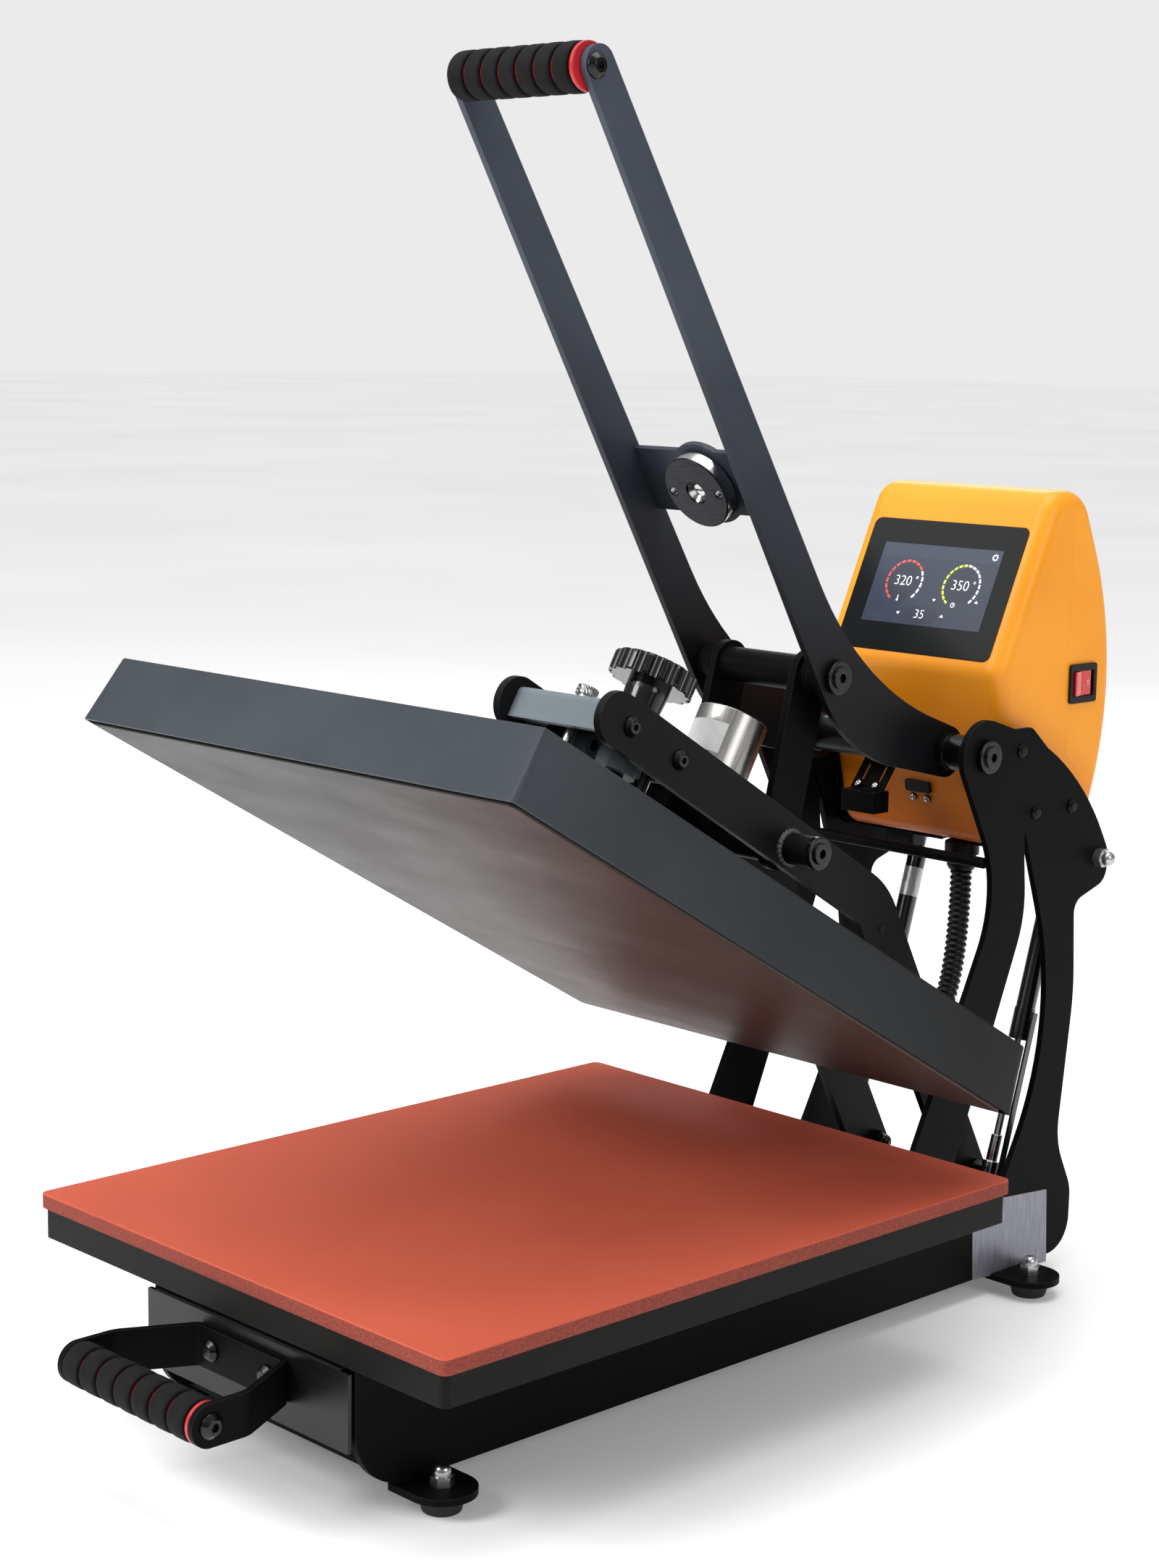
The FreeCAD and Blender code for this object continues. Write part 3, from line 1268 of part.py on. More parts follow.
def toggle_links():
    """Two link plates welded to a tube at each pivot, with the pin that seats the lever's bushes."""
    low = opened(d.link_pivot_back, d.link_pivot_up)
    length = (toggle_point - low).Length
    place = along(low, toggle_point)
    links = new_body("toggle_links", place)
    r = d.link_radius
    round_end = r - 0.05
    outline = [(-r, -r, round_end), (r, -r, round_end), (r, length + r, round_end), (-r, length + r, round_end)]
    toggle_hole = d.toggle_pin_radius + 0.02
    for side in (-1, 1):
        pad(links, "side", span(side, d.link_inside, d.link_plate), "Sizes.link_plate", [outline],
            [(0, 0, pin_hole), (0, length, toggle_hole)])
    for height, bore in ((0, pin_hole), (length, toggle_hole)):
        pad(links, "side", -d.link_inside, "2 * Sizes.link_inside",
            circles=[(0, height, d.link_tube_radius), (0, height, bore)])
    reach = d.lever_inside - 0.5
    pad(links, "side", -reach, 2 * reach, circles=[(0, length, d.toggle_pin_radius)])
    for side in (-1, 1):
        sleeve = ringed_sleeve(d.toggle_pin_radius - 0.5, d.bush_radius, link_outside, reach, d.bush_groove)
        turn(links, "x", (0, 0, length), mirrored(sleeve, side))


# Gas springs, drawn down from the top ball along the negative z axis

def ball_socket(body, height, outwards):
    """Cylindrical socket round a ball, open on the side where the ball's stud comes in."""
    r = d.ball_socket_radius
    cavity = d.ball_radius + d.ball_play
    turn(body, "z", (0, 0, height), [(0, -8), (r, -8, 1), (r, 8, 1), (0, 8)])
    reach = 2 * r
    mouth = [(0, -cavity), (cavity, -cavity, cavity * 0.99), (cavity, reach), (0, reach)]
    turn(body, "x", (0, 0, height), mirrored(mouth, outwards), groove=True)


def gas_spring(side):
    name = "right" if side > 0 else "left"
    foot = opened(d.spring_foot_back, d.spring_foot_up)
    offset = Vector(d.spring_half * side, 0, 0)
    place = along(foot + offset, spring_point + offset)
    length = (spring_point - foot).Length
    frame = place * Placement(Vector(0, 0, length), Rotation())

    cylinder = new_body("spring_cylinder_" + name, frame)
    r = d.cylinder_radius
    end = -d.cylinder_length
    collar_top = end + d.collar_length
    profile = [(0, -22), (0, -6), (d.neck_radius, -6), (d.neck_radius, -20), (r, -22, 1.5), (r, collar_top),
               (d.collar_radius, collar_top), (d.collar_radius, end, 1), (d.rod_radius + 0.05, end),
               (d.rod_radius + 0.05, end + 8), (d.cylinder_bore, end + 8), (d.cylinder_bore, -28), (0, -28)]
    turn(cylinder, "z", (0, 0, 0), profile[::-1])
    ball_socket(cylinder, 0, side)
    near = d.guard_offset - d.guard_sheet / 2
    far = d.guard_offset + d.guard_sheet / 2
    half = d.guard_width / 2
    strap = [(near * side, -half), (far * side, -half), (far * side, half), (near * side, half)]
    pad(cylinder, "plan", -d.guard_length, d.guard_length - d.cylinder_length + d.collar_length - 2, [strap])
    bridge = [((d.collar_radius - 1) * side, -half), (far * side, -half), (far * side, half),
              ((d.collar_radius - 1) * side, half)]
    pad(cylinder, "plan", collar_top - 8, 6, [bridge])

    rod = new_body("spring_rod_" + name, frame)
    neck_top = -length + 8 + d.neck_length
    piston = -d.piston_depth
    profile = [(0, -length + 6), (d.neck_radius, -length + 6), (d.neck_radius, neck_top, 0.8),
               (d.rod_radius, neck_top), (d.rod_radius, piston - 8), (d.piston_radius, piston - 8),
               (d.piston_radius, piston), (0, piston)]
    turn(rod, "z", (0, 0, 0), profile)
    ball_socket(rod, -length, -side)
    # The lower ball stays with the rod: the arm's stud stops short of it and may wander in the mouth
    ball = d.ball_radius
    flat = math.sqrt(ball ** 2 - d.ball_neck_radius ** 2)
    profile = [(0, ball), (ball, ball, ball * 0.97), (ball, -flat, 2.4), (0, -flat)]
    turn(rod, "x", (0, 0, -length), mirrored(profile, side))


# Conduit

def conduit_route():
    """Points from the box's gland to the platen's: straight down, then three turns forwards and up."""
    top = Vector(d.conduit_x, d.gland_back, d.box_bottom - d.gland_length)
    foot = opened(d.platen_gland_reach, d.platen_gland_up) + Vector(d.conduit_x, 0, 0)
    first, second, last = (Rotation(X_AXIS, -turned).multVec(Vector(0, 0, -1))
                           for turned in (d.conduit_first_turn, d.conduit_second_turn, 90 + d.open_angle))
    before_last = foot - last * d.conduit_last_run
    run = (before_last.y - top.y) / (first.y + second.y)
    middle = before_last - second * run
    return [top, middle - first * run, middle, before_last, foot]


def rounded_route(points):
    """Straight runs along the route, joined by arcs that take 0.45 of the shorter run beside them."""
    edges = []
    start = points[0]
    for before, corner, after in zip(points, points[1:], points[2:]):
        inward = (corner - before).normalize()
        onward = (after - corner).normalize()
        half_turn = inward.getAngle(onward) / 2
        reach = 0.45 * min((corner - before).Length, (after - corner).Length)
        radius = reach / math.tan(half_turn)
        sagitta = radius / math.cos(half_turn) - radius
        entry = corner - inward * reach
        leave = corner + onward * reach
        edges.append(Part.LineSegment(start, entry).toShape())
        edges.append(Part.Arc(entry, corner + (onward - inward).normalize() * sagitta, leave).toShape())
        start = leave
        print("conduit arc radius %.0f mm" % radius)
    edges.append(Part.LineSegment(start, points[-1]).toShape())
    return Part.Wire(edges)


def path_frames(wire, distances):
    """Points and directions of a wire at rising distances along it."""
    frames = []
    edges = wire.OrderedEdges
    passed = 0
    index = 0
    for distance in distances:
        while index < len(edges) - 1 and distance > passed + edges[index].Length:
            passed += edges[index].Length
            index += 1
        edge = edges[index]
        parameter = edge.getParameterByLength(min(distance - passed, edge.Length))
        frames.append((edge.valueAt(parameter), edge.tangentAt(parameter)))
    return frames


def ring(centre, direction, radius):
    """A circle square to direction whose own x axis stays on the part's x axis."""
    circle = Part.Circle(Vector(), Vector(0, 0, 1), radius)
    shape = circle.toShape()
    shape.Placement = Placement(centre, Rotation(X_AXIS, Vector(), direction, "ZXY"))
    return Part.Wire([shape])


def corrugated_conduit():
    """Ribbed hose: each rib climbs from the valley, runs along its crest and drops back."""
    wire = rounded_route(conduit_route())
    smooth_end = 2 * d.conduit_radius
    ribs = int((wire.Length - 2 * smooth_end) / d.conduit_pitch)
    pitch = (wire.Length - 2 * smooth_end) / ribs
    stations = [(0, d.conduit_radius), (smooth_end, d.conduit_radius)]
    for rib in range(ribs):
        start = smooth_end + rib * pitch
        for share, radius in ((0.15, d.conduit_valley), (0.4, d.conduit_valley),
                              (0.65, d.conduit_radius), (0.9, d.conduit_radius)):
            stations.append((start + share * pitch, radius))
    stations += [(wire.Length - smooth_end, d.conduit_radius), (wire.Length, d.conduit_radius)]
    frames = path_frames(wire, [distance for distance, radius in stations])
    rings = [ring(point, direction, station[1]) for (point, direction), station in zip(frames, stations)]
    outside = Part.makeLoft(rings, True, True)
    steps = 30
    bore_stations = [wire.Length * step / steps for step in range(steps + 1)]
    bore_rings = [ring(point, direction, d.conduit_bore) for point, direction in path_frames(wire, bore_stations)]
    bore = Part.makeLoft(bore_rings, True, True)
    hose = outside.cut(bore)
    print("conduit: %d ribs, length %.0f mm, volume %.0f of %.0f mm3 for a plain tube" % (
        ribs, wire.Length, hose.Volume,
        math.pi * (d.conduit_radius ** 2 - d.conduit_bore ** 2) * wire.Length))
    conduit = doc.addObject("Part::Feature", "conduit")
    conduit.Label = "conduit"
    conduit.Shape = hose
    conduit.Placement = datum
    nodes.append(conduit)


for side in (1, -1):
    side_plate(side)
    arm_plate(side)
    lever_arm(side)
    gas_spring(side)
base_floor()
cross_rod()
drawer_rails()
feet()
pivot_shafts()
frame_fasteners()
control_box()
screen()
control_board()
power_switch()
box_trim()
drawer()
drawer_handle()
front_channel()
magnet()
arm_pivots()
arm_fasteners()
heat_platen()
platen_fittings()
pressure_screw()
lever_fittings()
toggle_links()
corrugated_conduit()
doc.recompute()

failed = [item.Label for item in doc.Objects if {"Invalid", "Error"} & set(item.State)]
for node in nodes:
    if node.Shape.isNull() or not node.Shape.isValid() or not node.Shape.Solids:
        failed.append(node.Label)
if failed:
    raise RuntimeError("pieces that did not build: " + ", ".join(failed))

os.makedirs("parts", exist_ok=True)
for node in nodes:
    node.Shape.exportStep(os.path.join("parts", node.Label + ".step"))
print("wrote %d nodes" % len(nodes))
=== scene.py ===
import math

import bpy
from mathutils import Matrix, Vector, noise


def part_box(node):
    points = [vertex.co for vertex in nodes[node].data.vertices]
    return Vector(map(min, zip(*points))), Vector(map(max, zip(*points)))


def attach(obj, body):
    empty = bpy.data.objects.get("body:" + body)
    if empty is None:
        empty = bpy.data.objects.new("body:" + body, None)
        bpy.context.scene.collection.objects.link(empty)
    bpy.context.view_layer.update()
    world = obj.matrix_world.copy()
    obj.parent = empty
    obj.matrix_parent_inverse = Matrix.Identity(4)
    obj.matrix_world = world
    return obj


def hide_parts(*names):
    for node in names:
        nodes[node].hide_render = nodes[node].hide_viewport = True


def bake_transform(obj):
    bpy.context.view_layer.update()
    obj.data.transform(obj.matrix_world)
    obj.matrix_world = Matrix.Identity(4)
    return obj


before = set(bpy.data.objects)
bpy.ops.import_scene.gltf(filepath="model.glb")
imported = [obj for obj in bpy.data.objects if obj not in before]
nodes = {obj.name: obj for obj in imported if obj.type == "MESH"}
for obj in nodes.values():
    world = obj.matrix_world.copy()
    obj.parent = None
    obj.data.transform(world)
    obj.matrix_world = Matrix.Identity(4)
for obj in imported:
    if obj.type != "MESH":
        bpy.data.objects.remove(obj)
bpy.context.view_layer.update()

# Lengths are in metres in the row frame. PAD and the frames made from it take millimetres.
MM = 0.001
PAD_FRONT = -0.3455
PAD = Matrix.Translation((0, PAD_FRONT, 0.135)) @ Matrix.Scale(MM, 4)


def turned_about(pin, degrees, origin):
    """Frame at a point of the closed press, turned with it about a pin that runs along x."""
    return (PAD @ Matrix.Translation(pin) @ Matrix.Rotation(math.radians(degrees), 4, "X")
            @ Matrix.Translation(origin - pin))


PLATEN_CENTRE = Vector((0, 254, 0.4))
HINGE_PIN = Vector((0, 592, 60))
OPENING = -30
UPPER = turned_about(HINGE_PIN, OPENING, PLATEN_CENTRE)
LEVER_PIN = Vector((0, 594, 268.5))
LEVER_TURN = -60
STRIKE = turned_about(LEVER_PIN, LEVER_TURN, PLATEN_CENTRE + Vector((0, 79.5, 190.5)))
# In UPPER: y and z of the link pin, x of the arm plate's outer face, z of the guide rods' heads
LINK_PIN = (133.1, 118.5)
ARM_FACE = 51
GUIDE_HEAD = 141.2
PANEL_LEAN = 64.9
PANEL = PAD @ Matrix.Translation((0, 649.9, 377.6)) @ Matrix.Rotation(math.radians(PANEL_LEAN), 4, "X")
GLASS_FRONT = 0.8
ROCKER_TILT = 8
ALONG_X = Matrix.Rotation(math.radians(90), 4, "Y")


# Camera

def make_camera():
    """Camera at the photograph's place, with its slight roll."""
    azimuth, elevation, roll = (math.radians(v) for v in (46.2555, 9.314, 0.8075))
    place = (1.31596, -1.31342, 0.70099)
    back = Vector((math.sin(azimuth) * math.cos(elevation), -math.cos(azimuth) * math.cos(elevation),
                   math.sin(elevation)))
    right = Vector((0, 0, 1)).cross(back).normalized()
    up = back.cross(right)
    level_right = right * math.cos(roll) + up * math.sin(roll)
    level_up = up * math.cos(roll) - right * math.sin(roll)
    data = bpy.data.cameras.new("camera")
    data.lens = 64.21
    data.sensor_width = 36
    data.sensor_fit = "AUTO"
    data.clip_end = 200
    camera = bpy.data.objects.new("camera", data)
    bpy.context.scene.collection.objects.link(camera)
    turned = Matrix((level_right, level_up, back)).transposed().to_4x4()
    camera.matrix_world = Matrix.Translation(place) @ turned
    bpy.context.scene.camera = camera


make_camera()


# Mesh helpers

def new_object(name, mesh, body, material, smooth=True):
    """Piece that rides on a body, or on none yet if body is None."""
    piece = bpy.data.objects.new(name, mesh)
    bpy.context.scene.collection.objects.link(piece)
    if smooth:
        for face in mesh.polygons:
            face.use_smooth = True
    mesh.materials.append(materials[material])
    if body is not None:
        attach(piece, body)
    return piece


def mesh_of(name, vertices, faces):
    mesh = bpy.data.meshes.new(name)
    mesh.from_pydata([tuple(v) for v in vertices], [], faces)
    mesh.validate()
    mesh.update()
    return mesh


def new_piece(name, geometry, body, material, smooth=True):
    """Piece from a pair of vertices and faces."""
    return new_object(name, mesh_of(name, *geometry), body, material, smooth)


def joined(parts):
    """One list of vertices and faces from several."""
    vertices, faces = [], []
    for some, polygons in parts:
        start = len(vertices)
        vertices += some
        faces += [[start + i for i in polygon] for polygon in polygons]
    return vertices, faces


def grid_faces(rows, columns, closed_rows=False):
    """Quads of a grid whose columns close on themselves."""
    faces = []
    for i in range(rows if closed_rows else rows - 1):
        for j in range(columns):
            a = i * columns + j
            b = i * columns + (j + 1) % columns
            c = (i + 1) % rows * columns + (j + 1) % columns
            e = (i + 1) % rows * columns + j
            faces.append([a, b, c, e])
    return faces


def on_circle(radius, angle):
    return radius * math.cos(angle), radius * math.sin(angle)


def lathe(profile, frame_matrix, steps):
    """Closed profile of (radius, height) turned about the frame's z axis."""
    vertices = []
    for radius, height in profile:
        for k in range(steps):
            vertices.append(frame_matrix @ Vector((*on_circle(radius, 2 * math.pi * k / steps), height)))
    return vertices, grid_faces(len(profile), steps, closed_rows=True)


def tube_along(points, radius_at, steps):
    """Rings of radius_at(distance) round a line of points, with no twist."""
    vertices = []
    passed = 0.0
    side = Vector((1, 0, 0))
    for i, point in enumerate(points):
        ahead = points[min(i + 1, len(points) - 1)] - points[max(i - 1, 0)]
        ahead.normalize()
        side = (side - ahead * side.dot(ahead)).normalized()
        other = ahead.cross(side)
        if i:
            passed += (point - points[i - 1]).length
        for k in range(steps):
            across, over = on_circle(radius_at(passed), 2 * math.pi * k / steps)
            vertices.append(point + side * across + other * over)
    return vertices, grid_faces(len(points), steps)


def resampled(points, step):
    """Points a fixed step apart along a line of points."""
    out = [points[0].copy()]
    wanted = step
    passed = 0.0
    for before, after in zip(points, points[1:]):
        run = (after - before).length
        while passed + run >= wanted:
            out.append(before.lerp(after, (wanted - passed) / run))
            wanted += step
        passed += run
    if (out[-1] - points[-1]).length > step * 0.3:
        out.append(points[-1].copy())
    return out


# Conduit

def make_conduit():
    """Ribbed hose on a NURBS line through the CAD route's points."""
    route = [(0.3265, 0.3010), (0.3265, 0.23155), (0.29833, 0.17380), (0.23526, 0.16154),
             (0.17464, 0.19654)]
    sideways = 0.020
    curve = bpy.data.curves.new("conduit_line", "CURVE")
    curve.dimensions = "3D"
    curve.resolution_u = 48
    spline = curve.splines.new("NURBS")
    spline.points.add(len(route) - 1)
    for point, (back, up) in zip(spline.points, route):
        point.co = (sideways, back, up, 1)
    spline.order_u = 3
    spline.use_endpoint_u = True
    holder = bpy.data.objects.new("conduit_line", curve)
    bpy.context.scene.collection.objects.link(holder)
    bpy.context.view_layer.update()
    line = bpy.data.meshes.new_from_object(holder)
    followed = [v.co.copy() for v in line.vertices]
    bpy.data.objects.remove(holder)
    bpy.data.meshes.remove(line)
    if (followed[0] - Vector((sideways, *route[0]))).length > 0.001:
        followed.reverse()
    points = resampled(followed, 0.00045)
    valley, crest, pitch = 0.0067, 0.00825, 0.0046

    def radius_at(distance):
        wave = 0.5 - 0.5 * math.cos(2 * math.pi * distance / pitch)
        return valley + (crest - valley) * wave ** 0.5

    hose = new_piece("conduit_hose", tube_along(points, radius_at, 32), None, "hose")
    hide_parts("conduit")
    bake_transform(hose)


# Materials

def linear(red, green, blue):
    """Linear colour from one read as 0 to 255."""
    out = []
    for value in (red, green, blue):
        v = value / 255
        out.append(v / 12.92 if v <= 0.04045 else ((v + 0.055) / 1.055) ** 2.4)
    return (*out, 1)


class Builder:
    """Node tree of one material, with object coordinates in metres."""

    def __init__(self, name):
        self.material = bpy.data.materials.new(name)
        self.material.use_nodes = True
        self.tree = self.material.node_tree
        self.tree.nodes.clear()
        out = self.add("ShaderNodeOutputMaterial")
        self.shader = self.add("ShaderNodeBsdfPrincipled")
        self.link(self.shader, "BSDF", out, "Surface")
        self.place = self.add("ShaderNodeTexCoord")

    def add(self, kind, **values):
        node = self.tree.nodes.new(kind)
        for key, value in values.items():
            setattr(node, key, value)
        return node

    def link(self, source, output, target, socket):
        self.tree.links.new(source.outputs[output], target.inputs[socket])

    def mapped(self, scale=(1, 1, 1), rotation=(0, 0, 0), location=(0, 0, 0)):
        node = self.add("ShaderNodeMapping")
        node.inputs["Scale"].default_value = scale
        node.inputs["Rotation"].default_value = rotation
        node.inputs["Location"].default_value = location
        self.link(self.place, "Object", node, "Vector")
        return node

    def vector(self, operation, constant, **mapping):
        """Vector operation on the mapped place and a constant."""
        node = self.add("ShaderNodeVectorMath", operation=operation)
        self.link(self.mapped(**mapping), "Vector", node, "Vector")
        node.inputs[1].default_value = constant
        return node

    def noise(self, scale, detail, rough=0.55, stretch=(1, 1, 1), rotation=(0, 0, 0)):
        node = self.add("ShaderNodeTexNoise")
        node.inputs["Scale"].default_value = scale
        node.inputs["Detail"].default_value = detail
        node.inputs["Roughness"].default_value = rough
        self.link(self.mapped(stretch, rotation), "Vector", node, "Vector")
        return node

    def ramp(self, source, stops, output="Fac"):
        node = self.add("ShaderNodeValToRGB")
        elements = node.color_ramp.elements
        while len(elements) < len(stops):
            elements.new(0.5)
        for element, (position, colour) in zip(elements, stops):
            element.position = position
            element.color = colour
        self.link(source, output, node, "Fac")
        return node

    def tones(self, source, dark, light, start=0.3, stop=0.7, output="Fac"):
        """Ramp between two colours read as 0 to 255."""
        return self.ramp(source, [(start, linear(*dark)), (stop, linear(*light))], output)

    def greys(self, source, *stops, output="Fac"):
        """Ramp through greys, each a (position, level) pair."""
        return self.ramp(source, [(place, (level, level, level, 1)) for place, level in stops], output)

    def spread(self, source, start, stop, low=0.0, high=1.0, output="Fac"):
        node = self.add("ShaderNodeMapRange")
        node.inputs["From Min"].default_value = start
        node.inputs["From Max"].default_value = stop
        node.inputs["To Min"].default_value = low
        node.inputs["To Max"].default_value = high
        self.link(source, output, node, "Value")
        return node

    def mix(self, kind, factor, first, second):
        """Mix of two colours; each of the three is a constant or a (node, output) pair."""
        node = self.add("ShaderNodeMix", data_type="RGBA", blend_type=kind)
        for socket, value in ((0, factor), (6, first), (7, second)):
            if isinstance(value, tuple) and len(value) == 2:
                self.tree.links.new(value[0].outputs[value[1]], node.inputs[socket])
            else:
                node.inputs[socket].default_value = value
        return node

    def rounded(self, radius):
        """Normal with its edges rounded in the shading."""
        node = self.add("ShaderNodeBevel", samples=4)
        node.inputs["Radius"].default_value = radius
        return node

    def bump(self, source, distance, strength, output="Fac", after=None):
        """Bump over another one, or over rounded edges."""
        node = self.add("ShaderNodeBump")
        node.inputs["Strength"].default_value = strength
        node.inputs["Distance"].default_value = distance
        self.link(source, output, node, "Height")
        if after is None:
            after = self.rounded(0.0006)
        self.link(after, "Normal", node, "Normal")
        return node

    def finish(self, colour, rough_source, rough, normal=None, **values):
        """Link colour, roughness and normal, and set the other sockets' constants."""
        self.tree.links.new(colour[0].outputs[colour[1]], self.shader.inputs["Base Color"])
        self.link(self.spread(rough_source, 0.3, 0.7, *rough), "Result", self.shader, "Roughness")
        if normal is not None:
            self.link(normal, "Normal", self.shader, "Normal")
        for key, value in values.items():
            self.shader.inputs[key.replace("_", " ")].default_value = value
        return self.material


def painted_edge_highlight(build, colour, edge_highlight):
    """Painted highlight: a lighter colour along exposed edges, mixed over a colour."""
    agree = build.add("ShaderNodeVectorMath", operation="DOT_PRODUCT")
    build.tree.links.new(build.rounded(0.0009).outputs["Normal"], agree.inputs[0])
    build.tree.links.new(build.add("ShaderNodeNewGeometry").outputs["Normal"], agree.inputs[1])
    mask = build.greys(agree, (0.8, 0.45), (0.97, 0), output="Value")
    return build.mix("MIX", (mask, "Color"), colour, linear(*edge_highlight)), 2


def painted_shade(build, colour, direction, start, stop, shade):
    """Colour multiplied by a painted shade that turns to white between two places along a direction."""
    painted_shading = build.spread(build.vector("DOT_PRODUCT", direction), start, stop, output="Value")
    tint = build.ramp(painted_shading, [(0.0, shade), (1.0, (1, 1, 1, 1))], "Result")
    return build.mix("MULTIPLY", 1.0, colour, (tint, "Color")), 2


def powder_coat(name, dark, light, rough, grain, scale=1400, edge_highlight=None, gloss=0.3, painted_shading=None):
    build = Builder(name)
    broad = build.noise(9, 4)
    colour = (build.tones(broad, dark, light), "Color")
    # painted highlight: a lighter colour along the exposed edges
    if edge_highlight is not None:
        colour = painted_edge_highlight(build, colour, edge_highlight)
    # painted shade: the colour darkens towards one end of a direction
    if painted_shading is not None:
        colour = painted_shade(build, colour, *painted_shading)
    bump = build.bump(build.noise(scale, 2), grain, 0.6)
    return build.finish(colour, broad, rough, bump, Specular_IOR_Level=gloss)


def brushed(name, dark, light, stretch, rough, metallic=1.0):
    """Metal with streaks drawn out along one axis and broad, faint stains."""
    build = Builder(name)
    streak = build.noise(30, 5, 0.6, stretch)
    stain = build.greys(build.noise(14, 3), (0.3, 0.7), (0.7, 1))
    colour = build.mix("MULTIPLY", 0.35, (build.tones(streak, dark, light), "Color"), (stain, "Color"))
    return build.finish((colour, 2), streak, rough, build.bump(streak, 0.00003, 0.5), Metallic=metallic)


def plastic(name, dark, light, rough, grain, scale, coat=0.0, gloss=0.5, painted_shading=None):
    build = Builder(name)
    broad = build.noise(11, 3)
    colour = (build.tones(broad, dark, light), "Color")
    # painted shade: the colour darkens towards one end of a direction
    if painted_shading is not None:
        colour = painted_shade(build, colour, *painted_shading)
    bump = build.bump(build.noise(scale, 1), grain, 0.5)
    return build.finish(colour, broad, rough, bump, Coat_Weight=coat, Coat_Roughness=0.08,
                        Specular_IOR_Level=gloss)


def silicone(name, dark, light):
    """Matte moulded sheet: fine grain, a paler dust of rubber and slightly uneven colour."""
    build = Builder(name)
    broad = build.noise(6, 4)
    speck = build.noise(900, 2)
    dust = build.greys(speck, (0.55, 0), (0.8, 0.22))
    colour = build.mix("MIX", (dust, "Color"), (build.tones(broad, dark, light, 0.25, 0.75), "Color"),
                       linear(208, 116, 92))
    grain = build.bump(speck, 0.00012, 0.7)
    soft = build.bump(build.noise(60, 2), 0.0004, 0.3, after=grain)
    return build.finish((colour, 2), broad, (0.62, 0.78), soft, Specular_IOR_Level=0.2)


def cut_rubber(name, dark, light):
    """Open, torn grain of the pad's sawn edge."""
    build = Builder(name)
    pit = build.noise(420, 5, 0.7, (1, 1, 1.6))
    colour = (build.tones(pit, dark, light, 0.3, 0.65), "Color")
    return build.finish(colour, pit, (0.7, 0.9), build.bump(pit, 0.0009, 0.9))


def foam(name, dark, light):
    """Matte foam with fine open cells."""
    build = Builder(name)
    cell = build.add("ShaderNodeTexVoronoi")
    cell.inputs["Scale"].default_value = 1500
    build.link(build.mapped(), "Vector", cell, "Vector")
    broad = build.noise(120, 4)
    colour = (build.tones(cell, dark, light, 0.0, 0.8, "Distance"), "Color")
    soft = build.bump(broad, 0.0004, 0.5, after=build.bump(cell, 0.0003, 0.7, "Distance"))
    return build.finish(colour, broad, (0.8, 0.95), soft, Specular_IOR_Level=0.25)


def hot_plate(name):
    """Coated aluminium with painted light and shade along y: darker at the front, warmer to the back, with
    cloudy streaks.
    """
    build = Builder(name)
    painted_shading = build.spread(build.vector("DOT_PRODUCT", (0, 1, 0)), -0.30, 0.20, output="Value")
    # painted light and shade: colour ramp from the front to the back
    base = build.ramp(painted_shading, [(0.0, linear(30, 32, 32)), (0.45, linear(62, 62, 59)),
                             (0.8, linear(74, 64, 60)), (1.0, linear(76, 57, 54))], "Result")
    cloud = build.noise(9, 8, 0.65, (1, 2.2, 1), (0, 0, 0.5))
    streak = build.noise(60, 5, 0.6, (6, 1, 1))
    clouds = build.greys(cloud, (0.35, 0.32), (0.65, 0.68))
    clouded = build.mix("OVERLAY", 0.22, (base, "Color"), (clouds, "Color"))
    streaks = build.greys(streak, (0.3, 0.75), (0.7, 1))
    colour = build.mix("MULTIPLY", 0.3, (clouded, 2), (streaks, "Color"))
    return build.finish((colour, 2), cloud, (0.4, 0.5), build.bump(streak, 0.00004, 0.4), Metallic=0.3,
                        Specular_IOR_Level=0.3)


def threaded(name, dark, light, pitch, tilt):
    """Turned thread along z, drawn with a band wave of the given pitch."""
    build = Builder(name)
    wave = build.add("ShaderNodeTexWave", wave_type="BANDS", bands_direction="Z")
    wave.inputs["Scale"].default_value = math.pi / (10 * pitch)
    wave.inputs["Distortion"].default_value = 0
    build.link(build.mapped(rotation=(tilt, 0, 0)), "Vector", wave, "Vector")
    colour = (build.tones(wave, dark, light, 0.2, 0.8), "Color")
    return build.finish(colour, build.noise(30, 3), (0.25, 0.4), build.bump(wave, 0.0008, 1.0), Metallic=1.0)


def above(build, matrix, height, soft):
    """Mask of the part of a piece past a height along a frame's z axis."""
    outward = matrix.to_3x3() @ Vector((0, 0, 1))
    outward.normalize()
    origin = matrix @ Vector((0, 0, height))
    depth = build.vector("DOT_PRODUCT", tuple(outward), location=tuple(-origin))
    return build.spread(depth, 0.0, soft, output="Value")


def guide_steel(name, head):
    """Ground rod with a cross-knurled head past the given height in the platen's frame."""
    build = Builder(name)
    waves = []
    for flip in (1, -1):
        wave = build.add("ShaderNodeTexWave", wave_type="BANDS", bands_direction="DIAGONAL")
        wave.inputs["Scale"].default_value = 190
        build.link(build.mapped((1, 1, flip), (0.52, 0, 0)), "Vector", wave, "Vector")
        waves.append((wave, "Color"))
    crossed = build.mix("MULTIPLY", 1.0, *waves)
    knurl = build.tones(crossed, (120, 120, 122), (230, 230, 232), 0.1, 0.6, 2)
    streak = build.noise(60, 4, 0.6, (1, 8, 1))
    ground = build.tones(streak, (196, 195, 192), (226, 225, 222))
    mask = above(build, UPPER, head, 0.0004)
    colour = build.mix("MIX", (mask, "Result"), (ground, "Color"), (knurl, "Color"))
    cut = build.mix("MIX", (mask, "Result"), (0, 0, 0, 1), (crossed, 2))
    return build.finish((colour, 2), streak, (0.12, 0.26), build.bump(cut, 0.0006, 0.9, 2), Metallic=1.0)


